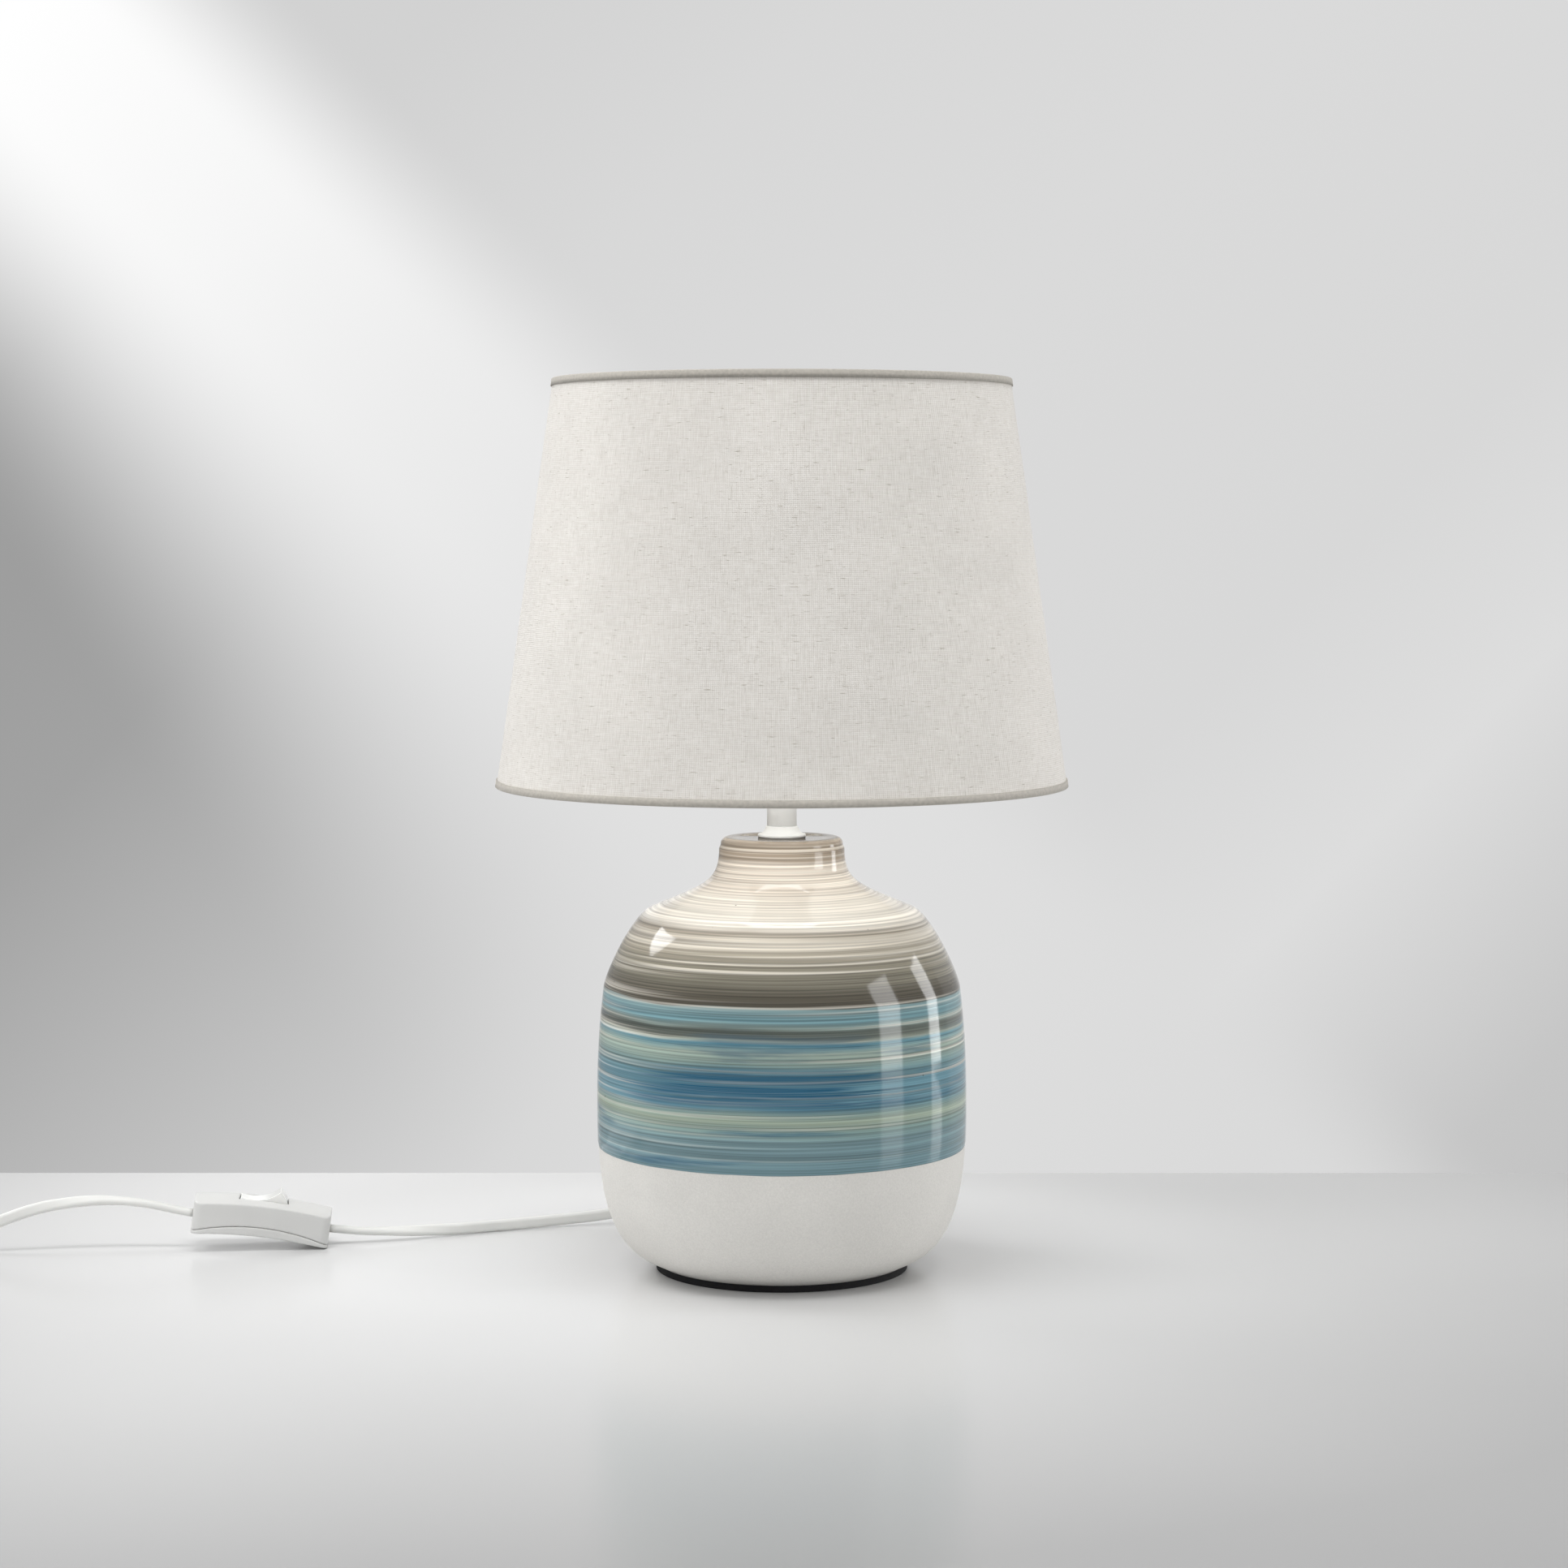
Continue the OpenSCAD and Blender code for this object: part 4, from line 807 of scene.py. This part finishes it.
def swept(name, path, section, flatness, slot):
    """A closed solid of one section along a path; flatness from 0, upright, to 1, lying flat."""
    mesh = bpy.data.meshes.new(name)
    work = bmesh.new()
    layer = work.loops.layers.uv.new("along")
    rings, count, along, girth = [], len(section), [0.0], 14 * MM
    for p, q in zip(path, path[1:]):
        along.append(along[-1] + (q - p).length)
    for i, point in enumerate(path):
        heading = (path[min(i + 1, len(path) - 1)] - path[max(i - 1, 0)]).normalized()
        level = heading.cross(Vector((0, 0, 1))).normalized()
        up = level.cross(heading)
        turn = flatness(i) * math.pi / 2
        wide = up * math.cos(turn) + level * math.sin(turn)
        thin = heading.cross(wide)
        rings.append([work.verts.new(point + wide * a + thin * b) for a, b in section])
    for i in range(len(rings) - 1):
        for k in range(count):
            n = (k + 1) % count
            face = work.faces.new((rings[i][k], rings[i][n], rings[i + 1][n], rings[i + 1][k]))
            face.smooth = True
            corners = ((k, i), (k + 1, i), (k + 1, i + 1), (k, i + 1))
            for loop, (u, v) in zip(face.loops, corners):
                loop[layer].uv = (u / count * girth, along[v])
    work.faces.new(rings[0][::-1])
    work.faces.new(rings[-1])
    bmesh.ops.recalc_face_normals(work, faces=work.faces)
    work.to_mesh(mesh)
    work.free()
    mesh.materials.append(finish_for(slot))
    return mesh


def softened(node, grain, rounds):
    """A copy of a CAD node with its edges rounded as a mould leaves them."""
    mesh = closed(NODES[node].data.copy())
    piece = placed(node + "_soft", mesh)
    remesh = piece.modifiers.new("remesh", "REMESH")
    remesh.mode, remesh.voxel_size, remesh.use_smooth_shade = "VOXEL", grain, True
    relax = piece.modifiers.new("relax", "SMOOTH")
    relax.factor, relax.iterations = 0.5, rounds
    bpy.context.view_layer.update()
    made = evaluated_mesh(piece)
    made.materials.clear()
    made.materials.append(finish_for(cad_slot(node)))
    for face in made.polygons:
        face.material_index = 0
    return made


def show_softened(name, node, body, slot, grain, rounds):
    """Show a softened copy in place of a CAD node; the grain is in millimetres."""
    return show(name, softened(node, grain * MM, rounds), body, slot, node)


def show_turned(name, profile, body, slot, *replaced, **form):
    """Turn a profile into a piece and show it."""
    return show(name, turned(name, profile, slot, **form), body, slot, *replaced)


trees = {}


# ---- the lamp, group by group ----

class LAMP_OT_base(bpy.types.Operator):
    """Turn the stoneware base and give its foot pad a finish"""
    bl_idname = "lamp.base"
    bl_label = "Stoneware base"

    def execute(self, context):
        s = prefs().base
        top_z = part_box("ceramic_body")[1].z
        foot_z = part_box("ceramic_body")[0].z
        foot_round = 0.8 * MM
        belly, shoulder = (s.belly_r, s.belly_z), (s.shoulder_r, s.shoulder_z)
        slope, neck = (s.slope_r, s.slope_z), (s.neck_r, s.neck_z)
        lip_z = top_z - s.lip
        outer = [(s.foot_r - foot_round, foot_z)]
        for start, lead, bend, end, count in (
                ((s.foot_r, foot_z + foot_round), (76.55 * MM, 10 * MM),
                 (s.belly_r, 28.7 * MM), belly, 44),
                (belly, (s.belly_r, 87 * MM), (s.belly_r, 104 * MM), shoulder, 30),
                (shoulder, (80.15 * MM, 136 * MM), (67.8 * MM, 161.7 * MM), slope, 28),
                (slope, (34.7 * MM, 175.7 * MM), (28.5 * MM, 177 * MM), neck, 28),
                (neck, (s.neck_r, s.neck_z + 0.8 * MM), (s.top_r, lip_z - 0.8 * MM),
                 (s.top_r, lip_z), 6)):
            outer += curve_points(start, lead, bend, end, count)
        outer += [(s.top_r - s.lip * (1 - math.cos(math.radians(a))),
                   top_z - s.lip * (1 - math.sin(math.radians(a)))) for a in range(0, 91, 10)]
        # The glaze stands proud of the clay, thickest where it pooled at its own edge
        proud = []
        for r, z in outer:
            rise = min(max((z - s.glaze_z) / (0.6 * MM), 0), 1)
            bead = math.exp(-((z - s.glaze_z - 1.2 * MM) / (1.2 * MM)) ** 2)
            proud.append((r + s.glaze_t * rise * (1 + 0.6 * bead), z))
        # Hollow between a raised floor and the neck; the foot is hollow below the floor
        floor_z, under_z, under_r = 34 * MM, 26 * MM, 48.5 * MM
        bore, seat_z = 5.2 * MM, top_z - 9 * MM
        inner = [(r - s.wall, z) for r, z in outer[::2]
                 if floor_z < z < top_z - 12 * MM and r - s.wall > 20 * MM]
        profile = proud + [(bore, top_z), (bore, seat_z), (inner[-1][0], seat_z)]
        profile += inner[::-1]
        profile += [(bore, floor_z), (bore, under_z), (under_r, under_z), (under_r, foot_z)]
        show_turned("lamp_base", profile, "lamp", "glazed_ceramic", "ceramic_body",
                    around=288, wobble=0.35 * MM, seed=3.0)
        keep_nodes("foot_pad")
        return {"FINISHED"}


class LAMP_OT_stem(bpy.types.Operator):
    """Turn the stem's sleeve and the collar at its foot, and finish the parts within"""
    bl_idname = "lamp.stem"
    bl_label = "Stem and fittings"

    def execute(self, context):
        low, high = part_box("stem_collar")
        sleeve_low, sleeve_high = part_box("stem_sleeve")
        stem_r, edge = sleeve_high.y, 0.3 * MM
        collar_r, flange = high.y, 1.4 * MM
        hollow_r, hollow_h = collar_r - edge - stem_r - edge, high.z - low.z - flange
        hollow = [(collar_r - edge - hollow_r * t, low.z + flange + hollow_h * t ** 2.4)
                  for t in (i / 10 for i in range(11))]
        inside = stem_r + 0.02 * MM
        profile = [(inside, low.z), (collar_r - edge, low.z), (collar_r, low.z + edge),
                   (collar_r, low.z + flange - edge), *hollow, (inside, high.z)]
        show_turned("collar", profile, "lamp", "powder_coat", "stem_collar", around=96)
        bore = 5.15 * MM
        profile = [(bore, sleeve_low.z), (stem_r, sleeve_low.z),
                   (stem_r, sleeve_high.z - edge), (stem_r - edge, sleeve_high.z),
                   (bore, sleeve_high.z)]
        show_turned("sleeve", profile, "lamp", "powder_coat", "stem_sleeve", around=96)
        keep_nodes("base_washer", "lock_washer", "lower_nut", "threaded_tube", "inner_cord")
        return {"FINISHED"}


class LAMP_OT_holder(bpy.types.Operator):
    """Finish the lamp holder and build its clamp ring with gripping ribs"""
    bl_idname = "lamp.holder"
    bl_label = "Lamp holder"

    def execute(self, context):
        keep_nodes("holder_cap", "holder_insert", "holder_shell", "centre_contact",
                   "side_contact", "terminal_screws", "holder_leads")
        low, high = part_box("clamp_ring")
        bore, ribs = 19.9 * MM, 36
        outer, edge = high.y - 0.7 * MM, 0.6 * MM
        profile = [(bore, low.z), (outer - edge, low.z), (outer, low.z + edge),
                   (outer, high.z - edge), (outer - edge, high.z), (bore, high.z)]
        show_turned("clamp_ring_body", profile, "clamp_ring", "white_plastic", "clamp_ring")
        block = (1.4 * MM, 1.9 * MM, high.z - low.z - 2 * edge)
        show("clamp_ring_ribs", blocks_in_a_ring("clamp_ring_ribs", ribs, outer,
                                                 (low.z + high.z) / 2, block, "white_plastic"),
             "clamp_ring", "white_plastic")
        return {"FINISHED"}


class LAMP_OT_bulb(bpy.types.Operator):
    """Roll the bulb's screw cap, set its LEDs in a ring and finish the rest"""
    bl_idname = "lamp.bulb"
    bl_label = "Bulb"

    def execute(self, context):
        keep_nodes("bulb_insulator", "bulb_tip", "bulb_housing", "led_driver", "led_plate",
                   "bulb_globe")
        show("screw_cap", self.screw_cap(), "bulb", "nickel", "bulb_cap")
        low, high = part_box("led_chips")
        leds, led_w = 12, 3.2 * MM
        mesh = blocks_in_a_ring("leds", leds, high.x - 1.9 * MM, (low.z + high.z) / 2,
                                (led_w, led_w, high.z - low.z), "led_phosphor")
        show("leds", mesh, "bulb", "led_phosphor", "led_chips")
        return {"FINISHED"}

    def screw_cap(self):
        """A thin metal cap with its round-topped thread rolled into it."""
        low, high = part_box("bulb_cap")
        pitch, depth, wall, around = 3.62 * MM, 1.1 * MM, 0.5 * MM, 72
        rows = 60
        work = bmesh.new()
        shells = []
        for inset in (0.0, wall):
            shell = []
            for i in range(rows + 1):
                z = low.z + (high.z - low.z) * i / rows
                # The thread fades out at both ends of the cap
                fade = min(1, (z - low.z) / (3 * MM), (high.z - z) / (4 * MM))
                ring = []
                for k in range(around):
                    angle = 2 * math.pi * k / around
                    thread = 0.5 - 0.5 * math.cos(2 * math.pi * (z / pitch) - angle)
                    r = high.y - inset - depth * thread * max(0, fade)
                    ring.append(work.verts.new((r * math.cos(angle), r * math.sin(angle), z)))
                shell.append(ring)
            shells.append(shell)
        loop = shells[0] + shells[1][::-1]
        for a, b in zip(loop, loop[1:] + loop[:1]):
            for k in range(around):
                n = (k + 1) % around
                work.faces.new((a[k], a[n], b[n], b[k])).smooth = True
        bmesh.ops.recalc_face_normals(work, faces=work.faces)
        mesh = bpy.data.meshes.new("screw_cap")
        work.to_mesh(mesh)
        work.free()
        return mesh


class LAMP_OT_shade(bpy.types.Operator):
    """Wrap the linen and its liner round the shade, bind the edges and finish the wires"""
    bl_idname = "lamp.shade"
    bl_label = "Shade"

    def execute(self, context):
        s = prefs().shade
        slant = math.hypot(1, s.lean)
        middle_r = s.bottom_r - s.lean * (s.top_z - s.bottom_z) / 2

        def side(z, inset=0.0):
            return (s.bottom_r - s.lean * (z - s.bottom_z) - inset, z)

        def band(inset, thickness, low, high, rows=60):
            steps = [low + (high - low) * i / rows for i in range(rows + 1)]
            return ([side(z, inset) for z in steps]
                    + [side(z, inset + thickness) for z in reversed(steps)])

        def wrapped(name, profile, slot, *replaced):
            mesh = turned(name, profile, slot, around=256, wobble=0.5 * MM, seed=9.0)
            return show(name, wrap_uv(mesh, middle_r, slant), "shade", slot, *replaced)

        low_z, high_z = s.bottom_z + s.hem_t, s.top_z - s.hem_t
        glue, tuck = 0.05 * MM, 0.2 * MM
        cloth = wrapped("linen_cloth", band(s.hem_t, s.cloth_t, low_z, high_z),
                        "shade_fabric", "shade_fabric")
        wrapped("liner", band(s.hem_t + s.cloth_t + glue, s.liner_t, low_z + tuck,
                              high_z - tuck), "shade_liner", "shade_liner")
        wire_r = 1.25 * MM
        ring_z = (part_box("shade_ring_bottom")[0].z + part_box("shade_ring_bottom")[1].z) / 2
        depth = side(ring_z)[0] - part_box("shade_ring_bottom")[1].y + 2 * wire_r
        for name, edge_z, way, node in (("hem_bottom", s.bottom_z, 1, "shade_hem_bottom"),
                                        ("hem_top", s.top_z, -1, "shade_hem_top")):
            t, h = s.hem_t, s.hem_h
            outline = [(0, h), (0, h / 2), (0, 0.4 * MM), (0.15 * MM, 0.12 * MM), (t, 0),
                       (depth, 0), (depth + 0.35 * MM, 0.12 * MM), (depth + t, 0.4 * MM),
                       (depth + t, h), (depth, h), (depth, t), (t, t), (t, h - 0.15 * MM)]
            profile = [side(edge_z + way * up, inset - 0.12 * MM * (inset == 0))
                       for inset, up in outline]
            wrapped(name, profile, "hem_fabric", node)
        keep_nodes("shade_ring_top", "shade_ring_bottom", "fitter_ring", "spider_arms")
        return {"FINISHED"}


# The cord's route, in metres: lamp to switch, and switch to coil
ROUTE_TO_SWITCH = [Vector(p) * MM for p in (
    (0, 96, 16), (0, 97, 16), (0, 102, 15.8), (-2, 111, 15.1), (-8, 119, 14.1),
    (-17, 124, 12.9), (-26, 125, 11.7), (-35, 122, 10.6), (-46, 116, 9.2), (-58, 109, 7.6),
    (-72, 101, 6.1), (-86, 94, 5), (-100, 90, 4.4), (-113, 86, 4), (-126, 81, 3.7),
    (-139, 75.5, 3.6), (-153, 68.5, 3.8), (-166, 62, 4.2), (-180, 56, 4.5), (-196, 51, 5.4),
    (-204, 49, 6.3))]
ROUTE_TO_COIL = [Vector(p) * MM for p in (
    (-286, 38, 18.6), (-296, 37.5, 20.8), (-307, 37, 22.4), (-318, 36, 23.1),
    (-328, 34.5, 22.9), (-337, 33, 22), (-345, 31.7, 20.8), (-355, 30, 18.2),
    (-365, 29, 14.6), (-375, 28.3, 10.7), (-385, 28.3, 7.5), (-396, 28.5, 5.2),
    (-408, 28.6, 4), (-418, 28.6, 3.6))]
ROUTE_TO_PLUG = [Vector(p) * MM for p in (
    (-464.6, -10, 9.2), (-464.8, -18, 9), (-465.2, -27, 8.4), (-465.7, -35, 7.5),
    (-466, -41, 6.85), (-466, -42, 6.85))]
SWITCH_AT = Vector((-245, 42.5, 11.8)) * MM
SWITCH_PITCH, SWITCH_YAW = math.radians(8), math.radians(7)
SWITCH_CORD_X, SWITCH_CORD_Z = 32.05 * MM, 0.4 * MM


def from_switch(x, y, z):
    """A place in the switch's own frame, in the lamp's frame."""
    level = x * math.cos(SWITCH_PITCH) + z * math.sin(SWITCH_PITCH)
    up = -x * math.sin(SWITCH_PITCH) + z * math.cos(SWITCH_PITCH)
    return SWITCH_AT + Vector((level * math.cos(SWITCH_YAW) - y * math.sin(SWITCH_YAW),
                               level * math.sin(SWITCH_YAW) + y * math.cos(SWITCH_YAW), up))


def smooth(share):
    """0 to 1 with a soft start and end."""
    share = min(max(share, 0.0), 1.0)
    return share * share * (3 - 2 * share)


def coil_route():
    """The coil's centreline: three turns inwards, up a layer, and out again beside each other."""
    centre, outer_r, lane_w = Vector((-430, -6, 3.6)) * MM, 34.6 * MM, 3.6 * MM
    layer_h, turns, per_turn, jog = 5.6 * MM, 5.25, 36, 0.12
    lane_changes = ((0.86, 1), (1.86, 1), (3.62, -1), (4.62, -1))
    layer_change = 2.74
    made = []
    for i in range(1, int(turns * per_turn) + 1):
        t = i / per_turn
        lane = sum(way * smooth((t - at) / jog) for at, way in lane_changes)
        layer = smooth((t - layer_change) / jog)
        angle = math.pi / 2 + 2 * math.pi * t
        r = outer_r - lane_w * lane
        made.append(centre + Vector((r * math.cos(angle), r * math.sin(angle),
                                     layer_h * layer)))
    return made


class LAMP_OT_cord(bpy.types.Operator):
    """Lay the flat twin cord from the grip through the switch to the coil and the plug"""
    bl_idname = "lamp.cord"
    bl_label = "Cord"

    def execute(self, context):
        s = prefs().cord
        section = twin_section(s.width, s.thickness)
        keep_nodes("coil_tie")
        grip = show_softened("grip", "cord_grip", "lamp", "grip_plastic", 0.3, 3)

        def settled(path, flatness):
            """Let what is near the table lie on it."""
            made = []
            for i, p in enumerate(path):
                half = s.width / 2 + (s.thickness - s.width) / 2 * flatness(i)
                gap = max(p.z - half, 0)
                made.append(Vector((p.x, p.y, half + gap * smooth(gap / (2.5 * MM)))))
            return made

        entry = [from_switch(SWITCH_CORD_X + 1.95 * MM, 0, SWITCH_CORD_Z),
                 from_switch(SWITCH_CORD_X, 0, SWITCH_CORD_Z)]
        path, length = smooth_line(ROUTE_TO_SWITCH + entry, 2.2 * MM)
        near = [smooth((-0.150 - p.x) / 0.05) for p in path]
        path = settled(path, lambda i: near[i])
        first = show("cord_to_the_switch",
                     swept("cord_to_the_switch", path, section, lambda i: near[i], "cord_pvc"),
                     "lamp", "cord_pvc", "cord_to_switch")
        leaving = [from_switch(-SWITCH_CORD_X, 0, SWITCH_CORD_Z),
                   from_switch(-SWITCH_CORD_X - 1.95 * MM, 0, SWITCH_CORD_Z)]
        loose, _ = smooth_line(leaving + ROUTE_TO_COIL + [Vector((-0.430, 0.0286, 0.0036))],
                               2.2 * MM)
        path, length = smooth_line(loose + coil_route() + ROUTE_TO_PLUG, 2.4 * MM)
        reach = len(loose)
        turn = [1 - smooth((-0.290 - p.x) / 0.08) if i < reach else 0.0
                for i, p in enumerate(path)]
        second = show("cord_to_the_plug",
                      swept("cord_to_the_plug", path, section, lambda i: turn[i], "cord_pvc"),
                      "lamp", "cord_pvc", "cord_to_coil", "cord_coil", "cord_to_plug")
        return {"FINISHED"}


class LAMP_OT_switch(bpy.types.Operator):
    """Round the moulded edges of the switch and finish its working parts"""
    bl_idname = "lamp.switch"
    bl_label = "Rocker switch"

    def execute(self, context):
        show_softened("switch_cover", "switch_upper", "lamp", "switch_plastic", 0.4, 8)
        show_softened("switch_bottom", "switch_lower", "lamp", "switch_plastic", 0.4, 5)
        show_softened("rocker_key", "rocker", "rocker", "rocker_plastic", 0.25, 4)
        keep_nodes("rocker_pin", "rocker_plunger", "contact_seesaw", "switch_terminals",
                   "switch_leads", "switch_screws")
        return {"FINISHED"}


class LAMP_OT_plug(bpy.types.Operator):
    """Round the moulded plug and its strain relief and finish its pins"""
    bl_idname = "lamp.plug"
    bl_label = "Plug"

    def execute(self, context):
        show_softened("plug_housing", "plug_body", "lamp", "grip_plastic", 0.4, 8)
        show_softened("plug_neck", "plug_relief", "lamp", "grip_plastic", 0.3, 3)
        keep_nodes("plug_pins", "plug_sleeves")
        return {"FINISHED"}


# ---- stage ----

def table_lacquer():
    """White lacquered table top: smooth, faintly reflecting, with a painted pool of light that is
    palest just behind the lamp and darkens into painted shade with distance from there.
    """
    made, tree, shader = new_finish("table_lacquer", Roughness=0.22, IOR=1.45)
    away = add(tree, "ShaderNodeVectorMath",
               {0: on_object(tree), 1: (-0.12, 0.12, 0)}, operation="DISTANCE")
    # Painted light: the table's colour falls off with distance from one spot, as a pool of light
    tone = ramp(tree, away, [(0.15, "#dcdcdc"), (0.3, "#cdcdcd"), (0.4, "#c3c3c3"),
                             (0.5, "#b6b6b6"), (0.6, "#a6a6a6"), (0.8, "#989898")])
    feed(tree, shader, {"Base Color": tone})
    return made


def paper_sweep():
    """Pale paper backdrop that glows with a painted soft beam from the upper left, and painted
    shade under the beam's lower edge.
    """
    made, tree = new_material("paper_sweep")
    axes = add(tree, SPLIT, {0: on_object(tree)})
    # Across the beam, which falls from the upper left to the lower right
    across = times(tree, axes.outputs["X"], 0.69)
    across = maths(tree, "MULTIPLY_ADD", axes.outputs["Z"], 0.72, across)
    along = times(tree, axes.outputs["Z"], -0.69)
    along = maths(tree, "MULTIPLY_ADD", axes.outputs["X"], 0.72, along)
    # The beam's lower edge widens and blurs along its way
    reach = remap(tree, along, -1.1, 0.4, 0.25, 0.46)
    blur = remap(tree, along, -1.1, 0.4, 0.2, 0.38)
    lower = maths(tree, "DIVIDE", maths(tree, "ADD", across, reach), blur)
    lower = remap(tree, lower, -1.0, 1.0, kind="SMOOTHSTEP")
    upper = remap(tree, across, 0.1, 0.3, 1.0, 0.0, kind="SMOOTHSTEP")
    # Painted light: a glowing beam, painted shade below it and a greyer band above it, each
    # graded along the beam
    beam = ramp(tree, remap(tree, along, -1.4, 0.8), [
        (0.0, "#ffffff"), (0.18, "#f6f6f6"), (0.32, "#ededed"), (0.55, "#e2e2e2"),
        (1.0, "#dadada")])
    under = ramp(tree, remap(tree, along, -0.9, 0.6), [
        (0.0, "#9e9e9e"), (0.15, "#a2a2a2"), (0.3, "#b2b2b2"), (0.5, "#c6c6c6"),
        (0.65, "#d6d6d6"), (0.8, "#dcdcdc"), (1.0, "#d2d2d2")])
    over = ramp(tree, remap(tree, along, -1.0, 1.2), [
        (0.0, "#d2d2d2"), (0.16, "#d8d8d8"), (0.35, "#dadada"), (0.6, "#d8d8d8"),
        (0.73, "#dddddd"), (0.8, "#d4d4d4"), (0.9, "#c6c6c6"), (1.0, "#c2c2c2")])
    lit = blend(tree, upper, over, beam)
    lit = blend(tree, lower, under, lit)
    light = add(tree, "ShaderNodeEmission", {"Color": lit, "Strength": 1.0})
    add(tree, "ShaderNodeOutputMaterial", {"Surface": light})
    return made


def slab(name, low, high, edge, material):
    """A box with rounded edges, in place."""
    mesh = bpy.data.meshes.new(name)
    work = bmesh.new()
    bmesh.ops.create_cube(work, size=1.0)
    for vertex in work.verts:
        vertex.co = Vector([low[k] if vertex.co[k] < 0 else high[k] for k in range(3)])
    if edge:
        bmesh.ops.bevel(work, geom=work.edges[:], offset=edge, segments=4, profile=0.5,
                        affect="EDGES")
    work.to_mesh(mesh)
    work.free()
    mesh.materials.append(material)
    placed(name, mesh)


def soft_box(name, at, towards, size, power, glossy=True, shape="RECTANGLE"):
    """A rectangular studio light; one that is not glossy leaves no highlight."""
    light = bpy.data.lights.new(name, "AREA")
    light.shape, light.size, light.size_y = shape, size[0], size[1]
    light.energy = power
    lamp = placed(name, light)
    lamp.location = at
    lamp.rotation_euler = (Vector(towards) - Vector(at)).to_track_quat("-Z", "Y").to_euler()
    lamp.visible_camera, lamp.visible_glossy = False, glossy


class LAMP_OT_stage(bpy.types.Operator):
    """Set the table, the backdrop, the studio lights and the camera"""
    bl_idname = "lamp.stage"
    bl_label = "Stage"

    def execute(self, context):
        scene = context.scene
        slab("table_top", (-2.6, -2.6, -0.03), (2.6, 0.23, 0.0), 2 * MM, table_lacquer())
        slab("backdrop", (-4.0, 3.0, -2.0), (4.0, 3.02, 3.5), 0, paper_sweep())
        middle = (0, 0, 0.15)
        soft_box("window", (-1.05, 0.51, 1.08), (0, 0, 0.14), (0.56, 0.8), 6.2,
                 shape="ELLIPSE")
        soft_box("left_bank", (-1.5, -1.1, 0.9), middle, (1.5, 1.5), 14.5, glossy=False)
        soft_box("side_strip", (1.25, 0.42, 0.33), (0, 0, 0.11), (0.26, 0.75), 2.8)
        soft_box("side_panel", (1.3, -0.47, 0.35), (0, 0, 0.12), (0.4, 1.1), 5.6)
        soft_box("front_top", (0, -0.5, 1.75), (0, -0.1, 0.2), (1.4, 0.5), 16.5, glossy=False)
        # Stands in the shade's top opening, for the bright ceiling seen through it
        soft_box("skylight", (0, 0, 0.398), (0, 0, 0), (0.13, 0.13), 0.2)
        # Light thrown back by the table onto the neck and stem, under the shade
        soft_box("under_shade", (-0.02, -0.112, 0.212), (0, 0, 0.208), (0.1, 0.014), 0.04,
                 glossy=False)
        world = bpy.data.worlds.new("studio_air")
        world.use_nodes = True
        back = world.node_tree.nodes["Background"]
        back.inputs["Color"].default_value = linear("#e8e8e8")
        back.inputs["Strength"].default_value = 0.42
        scene.world = world
        scene.view_settings.view_transform = "Standard"
        camera = bpy.data.cameras.new("camera")
        camera.lens, camera.sensor_width = 80, 36
        camera.clip_start, camera.clip_end = 0.01, 50
        view = placed("camera", camera)
        view.location = (0.001, -1.578, 0.3393)
        view.rotation_euler = (math.radians(90 - 4.272), 0, 0)
        scene.camera = view
        return {"FINISHED"}


OPERATORS = (LAMP_OT_base, LAMP_OT_stem, LAMP_OT_holder, LAMP_OT_bulb, LAMP_OT_shade,
             LAMP_OT_switch, LAMP_OT_plug, LAMP_OT_cord, LAMP_OT_stage)


class LAMP_PT_panel(bpy.types.Panel):
    """Lists the lamp's groups of pieces"""
    bl_idname = "LAMP_PT_panel"
    bl_label = "Table lamp"
    bl_space_type = "VIEW_3D"
    bl_region_type = "UI"
    bl_category = "Lamp"

    def draw(self, context):
        for operator in OPERATORS:
            self.layout.operator(operator.bl_idname)
        settings = context.scene.table_lamp
        for name in ("base", "shade", "cord", "colours"):
            group = getattr(settings, name)
            box = self.layout.box()
            box.label(text=name.capitalize())
            for field in group.bl_rna.properties.keys():
                if field not in ("rna_type", "name"):
                    box.prop(group, field)


CLASSES = (LampBaseSizes, LampShadeSizes, LampCordSizes, LampColours, LampSettings,
           *OPERATORS, LAMP_PT_panel)


def register():
    for made in CLASSES:
        bpy.utils.register_class(made)
    bpy.types.Scene.table_lamp = bpy.props.PointerProperty(type=LampSettings)


def unregister():
    del bpy.types.Scene.table_lamp
    for made in reversed(CLASSES):
        bpy.utils.unregister_class(made)


def main():
    register()
    trees["turning"] = turning_tree()
    trees["ring"] = ring_tree()
    for operator in OPERATORS:
        group, name = operator.bl_idname.split(".")
        getattr(getattr(bpy.ops, group), name)()


if __name__ == "__main__":
    main()
